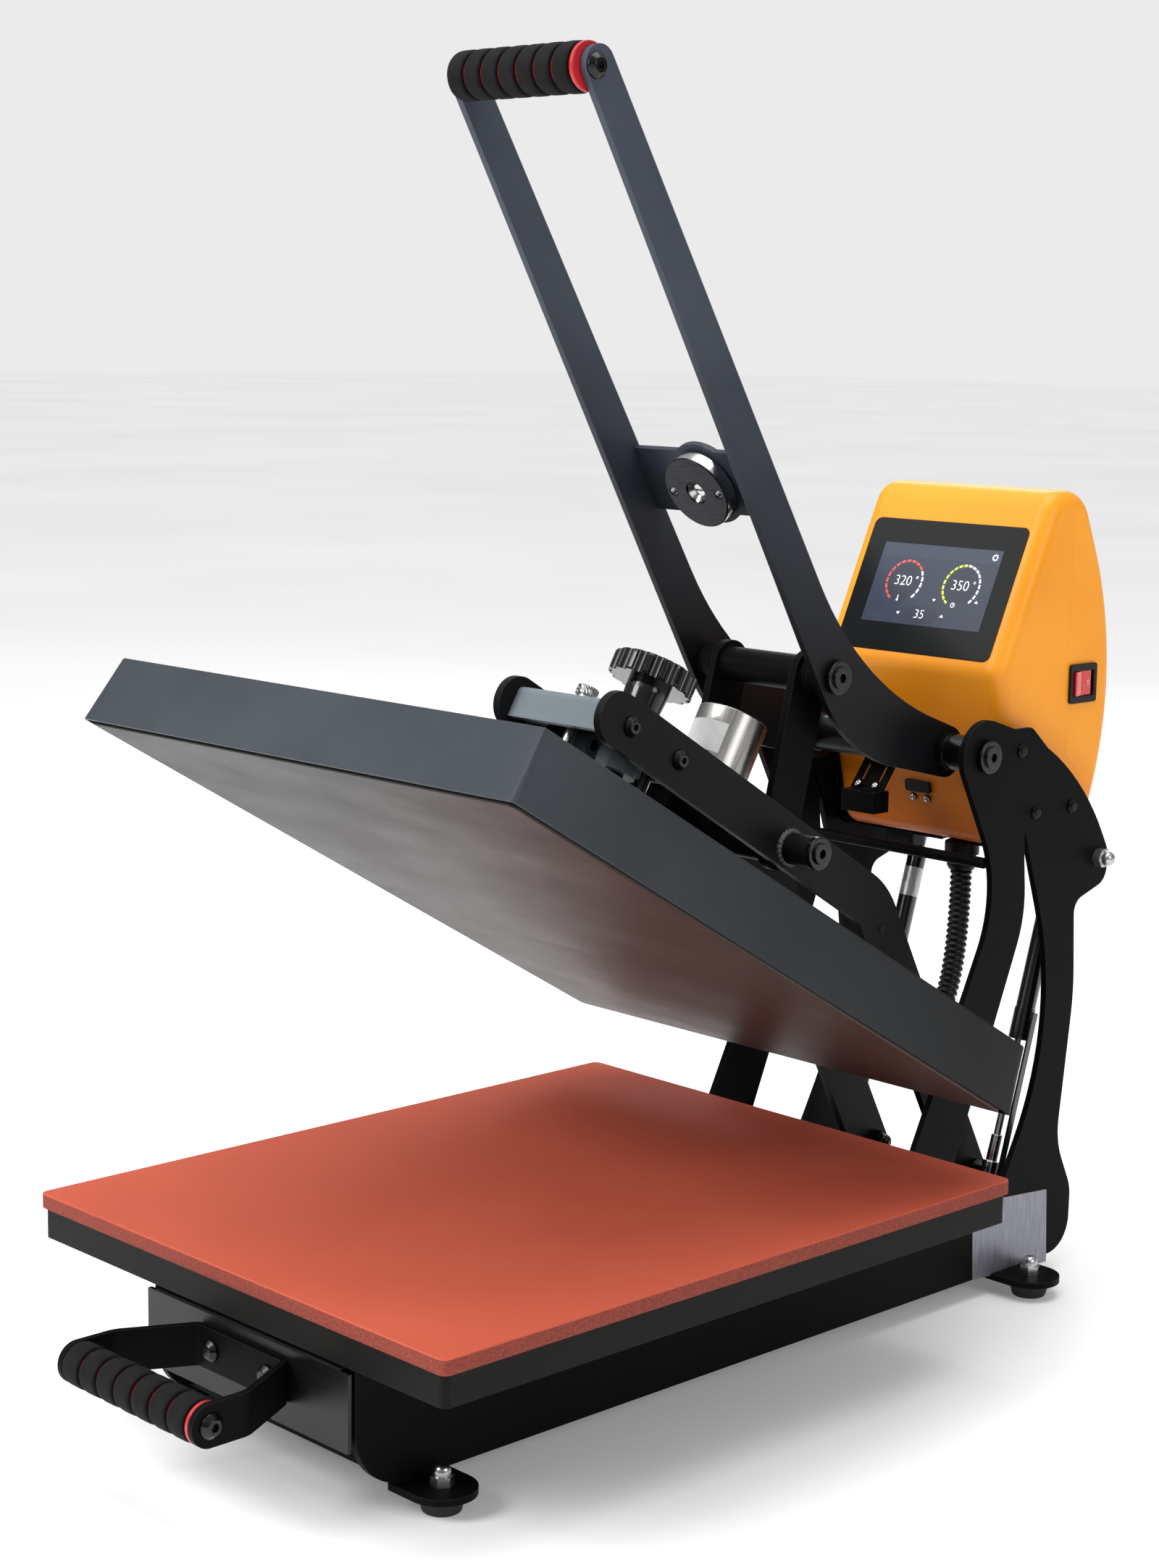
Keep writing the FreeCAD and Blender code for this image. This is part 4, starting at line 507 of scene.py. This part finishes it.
def strike_steel(name):
    """Polished steel with a painted dark reflection on its mirror-like face and a bright turned wall."""
    build = Builder(name)
    mask = above(build, STRIKE, 0.6, 0.0008)
    turned = build.noise(80, 4, 0.6, (1, 20, 1))
    wall = build.tones(turned, (176, 176, 178), (216, 216, 218))
    # painted reflection: the mirror face is painted dark, as if reflecting dark surroundings
    face = build.tones(turned, (34, 35, 37), (52, 53, 56))
    colour = build.mix("MIX", (mask, "Result"), (face, "Color"), (wall, "Color"))
    return build.finish((colour, 2), turned, (0.1, 0.2), build.bump(turned, 0.00002, 0.4), Metallic=1.0)


def fastener_steel(name, back, up):
    """Black button heads, with zinc-plated nuts near the given place."""
    build = Builder(name)
    grain = build.noise(60, 4)
    dark = build.tones(grain, (20, 20, 22), (34, 34, 37))
    light = build.tones(grain, (170, 170, 172), (210, 210, 212))
    near = build.add("ShaderNodeMath", operation="LESS_THAN")
    near.inputs[1].default_value = 0.016
    build.link(build.vector("DISTANCE", (0, back, up), scale=(0, 1, 1)), "Value", near, "Value")
    colour = build.mix("MIX", (near, "Value"), (dark, "Color"), (light, "Color"))
    return build.finish((colour, 2), grain, (0.2, 0.32), build.bump(grain, 0.00002, 0.4), Metallic=0.9)


def weld_metal(name, dark, light):
    build = Builder(name)
    ripple = build.noise(700, 3, 0.5)
    colour = (build.tones(ripple, dark, light), "Color")
    return build.finish(colour, ripple, (0.3, 0.45), build.bump(ripple, 0.0004, 0.8))


def lit(name, colour, strength):
    """Glowing mark under the glass, a little uneven across its face."""
    build = Builder(name)
    broad = build.noise(90, 2)
    full = linear(*colour)
    dimmed = tuple(v * 0.8 for v in full[:3]) + (1,)
    tint = build.ramp(broad, [(0.3, dimmed), (0.7, full)])
    build.link(tint, "Color", build.shader, "Emission Color")
    return build.finish((tint, "Color"), broad, (0.1, 0.16), Emission_Strength=strength, Coat_Weight=0.6,
                        Coat_Roughness=0.04)


def label_paper(name, dark, light, metallic=0.0):
    build = Builder(name)
    streak = build.noise(40, 4, 0.6, (1, 14, 1))
    colour = (build.tones(streak, dark, light), "Color")
    bump = build.bump(build.noise(1800, 1), 0.00002, 0.5)
    return build.finish(colour, streak, (0.3, 0.42), bump, Metallic=metallic)


# The edge colours below are painted highlights along exposed edges.
materials = {
    "frame": powder_coat("frame_coat", (9, 9, 10), (15, 15, 16), (0.36, 0.48), 0.00005, edge_highlight=(66, 70, 76),
                         gloss=0.04),
    "arm": powder_coat("arm_coat", (17, 17, 18), (24, 24, 26), (0.36, 0.48), 0.00005, edge_highlight=(74, 78, 84),
                       gloss=0.1),
    # lever: painted shade, darker towards the bottom, below z 0.72
    "lever": powder_coat("lever_coat", (62, 67, 77), (74, 79, 90), (0.32, 0.44), 0.00004,
                         edge_highlight=(108, 114, 122), gloss=0.15,
                         painted_shading=((0, 0, 1), 0.47, 0.72, (0.08, 0.075, 0.07, 1))),
    "carriage": powder_coat("carriage_coat", (13, 13, 14), (19, 19, 20), (0.42, 0.56), 0.00005, gloss=0.1),
    "face": brushed("drawer_face_brushed", (10, 9, 8), (20, 18, 16), (1, 60, 60), (0.34, 0.48), 0.15),
    "tray": powder_coat("tray_coat", (15, 14, 13), (22, 21, 19), (0.4, 0.52), 0.00006, 900,
                        edge_highlight=(58, 56, 52), gloss=0.1),
    # cover: painted shade, darker towards the back, from y -0.40 to y 0.12
    "cover": powder_coat("cover_coat", (56, 62, 67), (68, 74, 79), (0.34, 0.46), 0.00004,
                         edge_highlight=(120, 126, 132), gloss=0.15,
                         painted_shading=((0, -1, 0), -0.12, 0.40, (0.07, 0.068, 0.065, 1))),
    "hot_plate": hot_plate("heat_plate_coat"),
    "channel": powder_coat("channel_coat", (100, 110, 115), (122, 132, 138), (0.3, 0.42), 0.0001, 700,
                           edge_highlight=(140, 146, 150), gloss=0.3),
    "insulation": silicone("pressed_board", (206, 200, 188), (232, 228, 216)),
    "pad": silicone("pad_silicone", (186, 82, 60), (198, 92, 69)),
    "pad_edge": cut_rubber("pad_cut_edge", (92, 34, 24), (160, 66, 47)),
    # box: painted shade, darker and redder towards the lower front
    "amber": plastic("box_amber", (240, 150, 22), (247, 160, 34), (0.34, 0.46), 0.00002, 2600, gloss=0.35,
                     painted_shading=((0, 0.8, 1), 0.53, 0.70, (0.64, 0.26, 0.13, 1))),
    "glass": plastic("screen_gloss", (4, 7, 9), (8, 11, 13), (0.04, 0.08), 0.0, 200, gloss=0.3),
    "navy": plastic("display_panel", (30, 38, 60), (36, 46, 70), (0.1, 0.2), 0.0, 200, 0.5),
    "board": plastic("board_mask", (14, 70, 36), (24, 96, 50), (0.3, 0.45), 0.00003, 800),
    "trim": plastic("trim_moulded", (20, 20, 21), (28, 28, 30), (0.36, 0.5), 0.00004, 1500, gloss=0.2),
    "hose": plastic("hose_moulded", (16, 16, 17), (24, 24, 26), (0.32, 0.45), 0.00003, 1500, gloss=0.4),
    "rocker": plastic("rocker_gloss", (196, 16, 18), (232, 26, 24), (0.08, 0.16), 0.00001, 600, 0.6),
    "knob": plastic("knob_gloss", (3, 3, 4), (6, 6, 7), (0.1, 0.15), 0.000002, 900, gloss=0.5),
    "zinc": brushed("zinc_plated", (168, 168, 170), (206, 206, 208), (1, 1, 8), (0.2, 0.34)),
    "chrome": brushed("polished_nickel", (206, 205, 202), (232, 231, 228), (1, 1, 14), (0.08, 0.2)),
    "magnet": brushed("magnet_nickel", (150, 148, 144), (196, 194, 190), (60, 1, 1), (0.22, 0.36)),
    "strike": strike_steel("strike_steel"),
    "frame_screws": fastener_steel("frame_screw_steel", 0.3865, 0.3145),
    "dark_steel": plastic("black_oxide", (5, 5, 6), (10, 10, 11), (0.14, 0.22), 0.000004, 700, gloss=0.4),
    "thread": threaded("spindle_thread", (26, 26, 28), (70, 71, 74), 0.002, math.radians(-OPENING)),
    "cylinder": plastic("cylinder_lacquer", (16, 16, 18), (24, 24, 27), (0.12, 0.22), 0.00001, 900, 0.7),
    "feet": plastic("foot_rubber", (18, 18, 18), (30, 30, 30), (0.6, 0.78), 0.0001, 700),
    "foam": foam("grip_foam_black", (6, 6, 7), (17, 17, 18)),
    "grip_red": plastic("grip_red_vinyl", (170, 16, 26), (204, 24, 34), (0.3, 0.45), 0.00002, 1200, 0.2),
    "guide": guide_steel("guide_nickel", GUIDE_HEAD),
    "weld": weld_metal("painted_weld", (14, 14, 16), (32, 32, 35)),
    # partly silver weld spatter, partly a painted highlight for the sheen on glossy black paint
    "weld_spatter_and_sheen": weld_metal("spatter_and_sheen_weld", (40, 40, 42), (104, 104, 106)),
    "label_white": label_paper("label_white", (226, 226, 226), (244, 244, 244)),
    "label_silver": label_paper("label_silver", (176, 177, 182), (208, 209, 213), 0.7),
    "plate_silver": label_paper("plate_silver", (116, 117, 126), (150, 151, 160), 0.6),
    "screen_navy": lit("screen_navy", (30, 40, 62), 0.35),
    "screen_bar": lit("screen_bar", (38, 48, 70), 0.35),
    "screen_disc": lit("screen_disc", (24, 32, 52), 0.4),
    "screen_white": lit("screen_white", (240, 244, 250), 0.9),
    "screen_red": lit("screen_red", (226, 60, 52), 1.2),
    "screen_green": lit("screen_green", (196, 222, 40), 1.2),
    "mark_white": plastic("mark_white", (222, 222, 222), (240, 240, 240), (0.3, 0.4), 0.0, 900),
}

make_conduit()


# Finish of each CAD node, also of the nodes that a piece below stands for

CAD_FINISH = {
    "frame": ["side_plate_right", "side_plate_left", "base_floor", "cross_rod", "box_bracket", "hinge_tube",
              "magnet_bracket", "drawer_strap", "toggle_links", "position_flag"],
    "arm": ["arm_plate_right", "arm_plate_left"],
    "channel": ["front_channel"],
    "lever": ["handle_arm_right", "handle_arm_left", "handle_crosspieces"],
    "carriage": ["drawer_carriage"],
    "face": ["drawer_face"],
    "tray": ["lower_platen"],
    "cover": ["platen_cover"],
    "hot_plate": ["heat_plate"],
    "insulation": ["insulation_board"],
    "pad": ["silicone_pad"],
    "amber": ["box_front_shell", "box_rear_shell"],
    "glass": ["screen_glass"],
    "navy": ["display"],
    "board": ["control_board"],
    "trim": ["switch_body", "proximity_sensor", "cable_gland", "platen_gland", "power_inlet", "conduit"],
    "rocker": ["power_rocker"],
    "knob": ["pressure_knob"],
    "thread": ["pressure_spindle"],
    "zinc": ["fixed_rails", "moving_rails", "foot_bolts"],
    "frame_screws": ["frame_fasteners"],
    "dark_steel": ["link_shaft", "spindle_seat", "handle_shaft", "hinge_shaft", "drawer_bolts",
                   "arm_fasteners", "handle_bolts"],
    "magnet": ["electromagnet"],
    "strike": ["strike_disc"],
    "chrome": ["spring_rod_right", "spring_rod_left"],
    "guide": ["guide_rods"],
    "cylinder": ["spring_cylinder_right", "spring_cylinder_left"],
    "feet": ["rubber_feet"],
    "foam": ["grip_foam", "drawer_grip_foam"],
    "grip_red": ["grip_sleeve", "drawer_grip_sleeve"],
}


def finish_nodes():
    for finish, names in CAD_FINISH.items():
        for name in names:
            node = nodes[name]
            node.data.materials.clear()
            node.data.materials.append(materials[finish])


finish_nodes()


# Silicone pad

def pad_outline():
    """Places and outward directions round the pad's rounded rectangle."""
    half_wide, deep, corner = 0.203, 0.508, 0.006
    edge_step = 0.004
    centres = [(half_wide - corner, corner, -90), (half_wide - corner, deep - corner, 0),
               (-half_wide + corner, deep - corner, 90), (-half_wide + corner, corner, 180)]
    ring = []
    for (cx, cy, start), (next_x, next_y, next_start) in zip(centres, centres[1:] + centres[:1]):
        for k in range(9):
            angle = math.radians(start + 90 * k / 8)
            across, back = on_circle(corner, angle)
            ring.append((Vector((cx + across, cy + back, 0)), Vector((*on_circle(1, angle), 0))))
        last, outward = ring[-1]
        across, back = on_circle(corner, math.radians(next_start))
        following = Vector((next_x + across, next_y + back, 0))
        steps = int((following - last).length / edge_step)
        for k in range(1, steps):
            ring.append((last.lerp(following, k / steps), outward))
    return ring


def make_pad():
    """Rubber sheet with rounded corners, a soft top edge and a ragged sawn wall."""
    low = Vector((0, PAD_FRONT, 0.125))
    levels = [(0.0, 0.0006), (0.0006, 0.0001), (0.0025, 0.0), (0.005, 0.0001), (0.0075, 0.0),
              (0.0092, 0.0001), (0.0098, 0.0004), (0.01, 0.001)]
    ring = pad_outline()
    vertices = []
    for height, pulled in levels:
        sawn = 0.0004 < height < 0.0095
        for place, outward in ring:
            ragged = noise.noise(Vector((place.x * 90, place.y * 90, height * 260))) * 0.0003
            moved = place + outward * ((min(0.0, ragged - 0.0001) if sawn else 0.0) - pulled)
            vertices.append(low + Vector((moved.x, moved.y, height)))
    columns = len(ring)
    faces = grid_faces(len(levels), columns)
    wall = len(faces)
    faces.append(list(range(columns))[::-1])
    faces.append(list(range((len(levels) - 1) * columns, len(levels) * columns)))
    piece = new_piece("pad_sheet", (vertices, faces), "drawer", "pad")
    piece.data.materials.append(materials["pad_edge"])
    for face in piece.data.polygons:
        if face.index < wall - 2 * columns:
            face.material_index = 1
        if face.index >= wall:
            face.use_smooth = False
    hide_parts("silicone_pad")


make_pad()


# Foam grips

def make_grip(node, body, core):
    """Seven foam rings with soft shoulders round a core radius, in place of the CAD rings."""
    low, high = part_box(node)
    groove, skin, count = 0.0024, 0.0002, 7
    pitch = (high[0] - low[0] + groove) / count
    half = (pitch - groove) / 2
    radius = (high[2] - low[2]) / 2
    centre = Vector((0, (low[1] + high[1]) / 2, (low[2] + high[2]) / 2))
    profile = [(core, -half + skin)]
    for k in range(17):
        angle = math.pi * (k / 16 - 0.5)
        along = math.copysign(abs(math.sin(angle)) ** 0.42, math.sin(angle)) * half
        bulge = abs(math.cos(angle)) ** 0.5
        profile.append((core + skin + (radius - core - skin) * bulge, along))
    profile.append((core, half - skin))
    rings = []
    for ring in range(count):
        middle = Vector((low[0] + pitch * ring + half, 0, 0))
        vertices, faces = lathe(profile, Matrix.Translation(centre + middle) @ ALONG_X, 56)
        for vertex in vertices:
            out = vertex - centre
            out.x = 0
            vertex -= out.normalized() * abs(noise.noise(vertex * 160) * 0.00025)
        rings.append((vertices, faces))
    piece = new_piece(node + "_rings", joined(rings), body, "foam")
    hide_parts(node)


make_grip("grip_foam", "lever", 0.0132)
make_grip("drawer_grip_foam", "drawer", 0.0112)


# Screen graphics, on the glass

def panel_flat(name, outlines, material, lift):
    """Thin raised shapes on the glass from outlines of (x, y) in millimetres."""
    thick = 0.05
    parts = []
    for outline in outlines:
        count = len(outline)
        vertices = [PANEL @ Vector((x, y, GLASS_FRONT + height))
                    for height in (lift + thick, lift) for x, y in outline]
        faces = [list(range(count)), list(range(2 * count - 1, count - 1, -1))]
        faces += [[i, count + i, count + (i + 1) % count, (i + 1) % count] for i in range(count)]
        parts.append((vertices, faces))
    new_piece(name, joined(parts), "frame", material, False)


def rounded_box(left, right, low, high, radius):
    steps = 6
    out = []
    for cx, cy, start in ((right - radius, high - radius, 0), (left + radius, high - radius, 90),
                          (left + radius, low + radius, 180), (right - radius, low + radius, 270)):
        for k in range(steps + 1):
            across, up = on_circle(radius, math.radians(start + 90 * k / steps))
            out.append((cx + across, cy + up))
    return out


def disc(x, y, radius, steps=40):
    circle = [on_circle(radius, 2 * math.pi * k / steps) for k in range(steps)]
    return [(x + across, y + up) for across, up in circle]


def dash(x, y, inner, outer, start, end):
    """Part of a ring between two angles in degrees, clockwise from the top."""
    middle = (start + end) / 2
    out = []
    for radius, angles in ((inner, (start, middle, end)), (outer, (end, middle, start))):
        for angle in angles:
            across, up = on_circle(radius, math.radians(90 - angle))
            out.append((x + across, y + up))
    return out


def ring_of(x, y, inner, outer, count):
    """Whole ring in a number of parts."""
    step = 360 / count
    return [dash(x, y, inner, outer, step * k, step * (k + 1)) for k in range(count)]


def dashes(x, y, count, wanted):
    """Dashes of a dial that are numbered in wanted, out of count evenly spread ones."""
    first, last, gap = -150, 140, 0.14
    step = (last - first) / count
    return [dash(x, y, 15.6, 17.2, first + step * (k + gap), first + step * (k + 1 - gap)) for k in wanted]


def triangle(x, y, size, up):
    tip = size if up else -size
    points = [(x - size, y - tip * 0.5), (x + size, y - tip * 0.5), (x, y + tip * 0.7)]
    return points if up else points[::-1]


def stroke(x0, y0, x1, y1, width):
    """Thin bar between two points."""
    run = math.hypot(x1 - x0, y1 - y0)
    ux, uy = -(y1 - y0) / run * width / 2, (x1 - x0) / run * width / 2
    return [(x0 - ux, y0 - uy), (x1 - ux, y1 - uy), (x1 + ux, y1 + uy), (x0 + ux, y0 + uy)]


def number(name, text, x, y, size):
    """Slim raised digits, above the other marks."""
    lift = 0.14
    curve = bpy.data.curves.new(name, "FONT")
    curve.body = text
    curve.size = size
    curve.align_x = "CENTER"
    curve.align_y = "CENTER"
    curve.extrude = 0.03
    curve.offset = -0.16
    holder = bpy.data.objects.new(name + "_curve", curve)
    bpy.context.scene.collection.objects.link(holder)
    bpy.context.view_layer.update()
    mesh = bpy.data.meshes.new_from_object(holder)
    bpy.data.objects.remove(holder)
    mesh.transform(PANEL @ Matrix.Translation((x, y, GLASS_FRONT + lift)))
    mesh.name = name
    mesh.materials.clear()
    new_object(name, mesh, "frame", "screen_white", False)


def gear(x, y):
    """Ring with eight teeth."""
    out = ring_of(x, y, 1.5, 2.1, 12)
    for k in range(8):
        (x0, y0), (x1, y1) = (on_circle(radius, math.radians(45 * k)) for radius in (2.0, 2.8))
        out.append(stroke(x + x0, y + y0, x + x1, y + y1, 0.8))
    return out


def clock(x, y):
    return ring_of(x, y, 1.5, 1.95, 12) + [stroke(x, y, x, y + 1.2, 0.4), stroke(x, y, x + 0.9, y, 0.4)]


def make_screen():
    """Field, bar, two dials of dashes, arrows, small symbols and three numbers."""
    left, right = (-26.5, 3.0), (27.5, 3.0)
    panel_flat("screen_field", [rounded_box(-56, 56, -30.4, 33, 0.8)], "screen_navy", 0.0)
    panel_flat("screen_top_bar", [rounded_box(-55.6, 55.6, 22, 32.6, 0.6)], "screen_bar", 0.05)
    panel_flat("screen_discs", [disc(*left, 14.2), disc(*right, 14.2)], "screen_disc", 0.05)
    panel_flat("screen_well", [rounded_box(-14.5, 13.0, -28.6, -15.5, 6)], "screen_disc", 0.05)
    panel_flat("screen_dashes_red", dashes(*left, 17, range(12)), "screen_red", 0.06)
    panel_flat("screen_dashes_green", dashes(*right, 19, range(10)), "screen_green", 0.06)
    white = dashes(*left, 17, range(12, 17)) + dashes(*right, 19, range(10, 19))
    white += [triangle(-23.0, -22.0, 1.7, False), triangle(6.6, -9.6, 1.6, False),
              triangle(18.2, -21.5, 1.8, True), triangle(45.6, -8.2, 1.7, True)]
    white += gear(50.0, 27.4) + clock(25.0, -12.0)
    thermometer = [stroke(-28.0, -11.6, -28.0, -8.2, 0.7), disc(-28.0, -12.0, 0.95, 16)]
    white += thermometer
    for x, _ in (left, right):
        white += ring_of(x + 11.2, 6.6, 0.7, 1.05, 8)
    panel_flat("screen_marks", white, "screen_white", 0.11)
    number("number_left", "320", left[0] - 1.2, left[1] + 0.2, 11.2)
    number("number_right", "350", right[0] - 1.2, right[1] + 0.2, 11.2)
    number("number_time", "35", -3.0, -21.9, 10.0)


make_screen()


# Labels, weld beads and small marks

def bent_label(name, frame_matrix, radius, low, high, middle, spread, body, material):
    """Sheet wrapped round a cylinder; middle and spread are angles in degrees about the frame's z."""
    steps, clearance, thick = 24, 0.02, 0.1
    vertices = []
    for lift in (0.0, thick):
        for height in (low, high):
            for k in range(steps + 1):
                angle = math.radians(middle - spread / 2 + spread * k / steps)
                vertices.append(frame_matrix @ Vector((*on_circle(radius + clearance + lift, angle), height)))
    n = steps + 1
    faces = []
    for k in range(steps):
        faces.append([2 * n + k, 2 * n + k + 1, 3 * n + k + 1, 3 * n + k])
        faces.append([k + 1, k, n + k, n + k + 1])
        faces.append([k, k + 1, 2 * n + k + 1, 2 * n + k])
        faces.append([n + k + 1, n + k, 3 * n + k, 3 * n + k + 1])
    faces.append([0, 2 * n, 3 * n, n])
    faces.append([steps, n + steps, 3 * n + steps, 2 * n + steps])
    new_piece(name, (vertices, faces), body, material, False)


def make_rating_plate():
    """Blank plate with rounded corners on the right side plate."""
    corners = [Vector(v) for v in ((596.5, -60.5), (685.0, -68.0), (688.2, -125.3), (599.7, -119.5))]
    face_x, thick, rounding = 101.0, 0.45, 1.2
    outline = []
    for i, corner in enumerate(corners):
        before, after = corners[i - 1], corners[(i + 1) % 4]
        start = corner.lerp(before, rounding / (before - corner).length)
        end = corner.lerp(after, rounding / (after - corner).length)
        for t in (0, 0.25, 0.5, 0.75, 1):
            outline.append(start * (1 - t) ** 2 + corner * 2 * t * (1 - t) + end * t * t)
    count = len(outline)
    vertices = [PAD @ Vector((x, p.x, p.y)) for x in (face_x + thick, face_x) for p in outline]
    faces = [list(range(count))[::-1], list(range(count, 2 * count))]
    faces += [[i, (i + 1) % count, count + (i + 1) % count, count + i] for i in range(count)]
    new_piece("rating_plate", (vertices, faces), "frame", "plate_silver", False)


def make_labels():
    make_rating_plate()
    rivet = [(0.0, 0.5), (0.9, 0.42), (1.5, 0.15), (1.6, 0.0), (0.0, 0.0)]
    place = PAD @ Matrix.Translation((ARM_FACE, 543.6, 143.2)) @ ALONG_X
    new_piece("arm_rivet", lathe(rivet, place, 24), "platen_arm", "zinc")

    top = Vector((0, 732, 179.5))
    foot_from_hinge = Vector((0, 117.4, -67.3))
    foot = HINGE_PIN + Matrix.Rotation(math.radians(OPENING), 3, "X") @ foot_from_hinge
    lean = (foot - top).to_track_quat("Z", "X").to_matrix().to_4x4()
    for side, name in ((1, "right"), (-1, "left")):
        spring = PAD @ Matrix.Translation(top + Vector((side * 66.5, 0, 0))) @ lean
        ahead = spring.inverted().to_3x3() @ Vector((0.8, -1, 0))
        middle = math.degrees(math.atan2(ahead.y, ahead.x))
        bent_label("spring_label_" + name, spring, 7.5, 33, 56, middle, 160, "spring_cylinder_" + name,
                   "label_silver")

    magnet = UPPER @ Matrix.Translation((0, 86, 0))
    bent_label("magnet_label", magnet, 25, 156, 178, -90, 84, "platen_arm", "label_white")


make_labels()


def bead(name, centre, radius, body, thick, material):
    """Rippled weld bead in a ring round the x axis, about a place in millimetres."""
    steps, around = 72, 10
    vertices = []
    for i in range(steps):
        angle = 2 * math.pi * i / steps
        swell = thick * (1 + 0.16 * math.sin(steps / 3 * angle))
        for j in range(around):
            turn = 2 * math.pi * j / around
            r = radius + swell * math.cos(turn)
            vertices.append(centre @ Vector((*on_circle(r, angle), swell * 0.9 * math.sin(turn))))
    new_piece(name, (vertices, grid_faces(steps, around, closed_rows=True)), body, material)


def make_beads():
    for side, name in ((1, "right"), (-1, "left")):
        tube = PAD @ Matrix.Translation((side * 56.6, LEVER_PIN.y, LEVER_PIN.z)) @ ALONG_X
        bead("lever_tube_bead_" + name, tube, 13.1, "lever", 1.3, "weld")
        hinge = PAD @ Matrix.Translation((side * (ARM_FACE + 1), HINGE_PIN.y, HINGE_PIN.z)) @ ALONG_X
        bead("hinge_bead_" + name, hinge, 11.1, "platen_arm", 1.1, "weld")
        boss = UPPER @ Matrix.Translation((side * ARM_FACE, *LINK_PIN)) @ ALONG_X
        # lighter bead: partly weld spatter, partly a painted highlight
        bead("boss_bead_" + name, boss, 11.2, "platen_arm", 2.6, "weld_spatter_and_sheen")


make_beads()


def make_rocker_marks():
    """Plain bar and ring on the two ends of the rocker."""
    low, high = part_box("power_rocker")
    pivot = (0.085, 724 * MM + PAD_FRONT, (low[2] + high[2]) / 2)
    face = Matrix.Translation(pivot) @ Matrix.Rotation(math.radians(ROCKER_TILT), 4, "Z")
    proud, thick, reach = 0.00186, 0.00012, 0.0066
    corners = [(proud + x, y - reach, z) for x in (0, thick) for y in (-0.00025, 0.00025)
               for z in (-0.002, 0.002)]
    bar = ([face @ Vector(corner) for corner in corners],
           [[0, 1, 3, 2], [4, 6, 7, 5], [0, 2, 6, 4], [1, 5, 7, 3], [0, 4, 5, 1], [2, 3, 7, 6]])
    profile = [(0.00155, 0.0), (0.00155, thick), (0.0021, thick), (0.0021, 0.0)]
    ring = lathe(profile, face @ Matrix.Translation((proud, reach, 0)) @ ALONG_X, 32)
    new_piece("rocker_marks", joined([bar, ring]), "power_rocker", "mark_white", False)


make_rocker_marks()


def screw_heads(name, plane, places, body):
    """Bright domed heads at places in a plane's frame."""
    dome = [(0.0, 0.75), (0.5, 0.75), (0.6, 1.05), (1.7, 0.85), (2.6, 0.3), (2.75, 0.0), (0.0, 0.0)]
    heads = [lathe(dome, plane @ Matrix.Translation(place), 28) for place in places]
    new_piece(name, joined(heads), body, "chrome")


def make_screw_heads():
    flag = PAD @ Matrix.Translation((0, 582.5, 232.5)) @ Matrix.Rotation(math.radians(52), 4, "X")
    screw_heads("flag_screw_heads", flag, [(-8, 4, 3), (8, 4, 3)], "lever")
    sensor = PAD @ Matrix.Translation((0, 624.4, 324)) @ Matrix.Rotation(math.radians(102.66), 4, "X")
    screw_heads("sensor_screw_heads", sensor, [(-8, -106, 1.8), (5, -106, 1.8)], "frame")


make_screw_heads()


# Floor and light

def make_stage():
    """Pale floor that glows a little, so it stays pale far from the lights."""
    build = Builder("studio_floor")
    broad = build.noise(0.8, 3)
    colour = build.greys(broad, (0.3, 0.86), (0.7, 0.9))
    floor_material = build.finish((colour, "Color"), broad, (0.5, 0.6), Emission_Color=(1, 1, 1, 1),
                                  Emission_Strength=0.16)
    size = 30
    corners = [(-size, -size, 0), (size, -size, 0), (size, size, 0), (-size, size, 0)]
    mesh = mesh_of("floor", corners, [[0, 1, 2, 3]])
    mesh.materials.append(floor_material)
    floor = bpy.data.objects.new("floor", mesh)
    bpy.context.scene.collection.objects.link(floor)


def make_world():
    """Bright overhead and dimmer to the sides as light; plain and pale where it is seen directly."""
    world = bpy.data.worlds.new("studio")
    world.use_nodes = True
    tree = world.node_tree
    place = tree.nodes.new("ShaderNodeTexCoord")
    split = tree.nodes.new("ShaderNodeSeparateXYZ")
    ramp = tree.nodes.new("ShaderNodeValToRGB")
    path = tree.nodes.new("ShaderNodeLightPath")
    mix = tree.nodes.new("ShaderNodeMix")
    mix.data_type = "RGBA"
    tree.links.new(place.outputs["Generated"], split.inputs["Vector"])
    tree.links.new(split.outputs["Z"], ramp.inputs["Fac"])
    side, overhead = ramp.color_ramp.elements
    side.position, side.color = 0.1, (0.16, 0.16, 0.165, 1)
    overhead.position, overhead.color = 0.75, (0.6, 0.6, 0.6, 1)
    tree.links.new(path.outputs["Is Camera Ray"], mix.inputs[0])
    tree.links.new(ramp.outputs["Color"], mix.inputs[6])
    mix.inputs[7].default_value = (0.83, 0.83, 0.83, 1)
    tree.links.new(mix.outputs[2], tree.nodes["Background"].inputs["Color"])
    bpy.context.scene.world = world


def add_light(name, data, place, direction):
    light = bpy.data.objects.new(name, data)
    bpy.context.scene.collection.objects.link(light)
    turn = Vector(direction).to_track_quat("-Z", "Y").to_matrix().to_4x4()
    light.matrix_world = Matrix.Translation(place) @ turn


def soft_light(name, place, aim, size, power):
    """Square area light from a place towards an aim."""
    data = bpy.data.lights.new(name, "AREA")
    data.shape = "RECTANGLE"
    data.size = data.size_y = size
    data.energy = power
    add_light(name, data, place, Vector(aim) - Vector(place))


def wide_light(name, direction, strength, angle):
    """Even light over the whole floor, with soft shadows."""
    data = bpy.data.lights.new(name, "SUN")
    data.energy = strength
    data.angle = angle
    add_light(name, data, (0, 0, 0), direction)


make_stage()
make_world()
wide_light("sky", (0.25, 0.4, -1), 1.02, 1.2)
soft_light("key", (-0.9, -2.9, 2.3), (0, 0, 0.35), 1.5, 84)
soft_light("fill", (3.0, 0.2, 1.6), (0, 0, 0.4), 1.2, 19)
soft_light("top", (0.2, 0.2, 3.4), (0, 0, 0.3), 2.2, 44)
soft_light("rim", (-1.6, 2.4, 2.0), (0, 0, 0.4), 1.2, 16)

bpy.context.scene.view_settings.view_transform = "Standard"
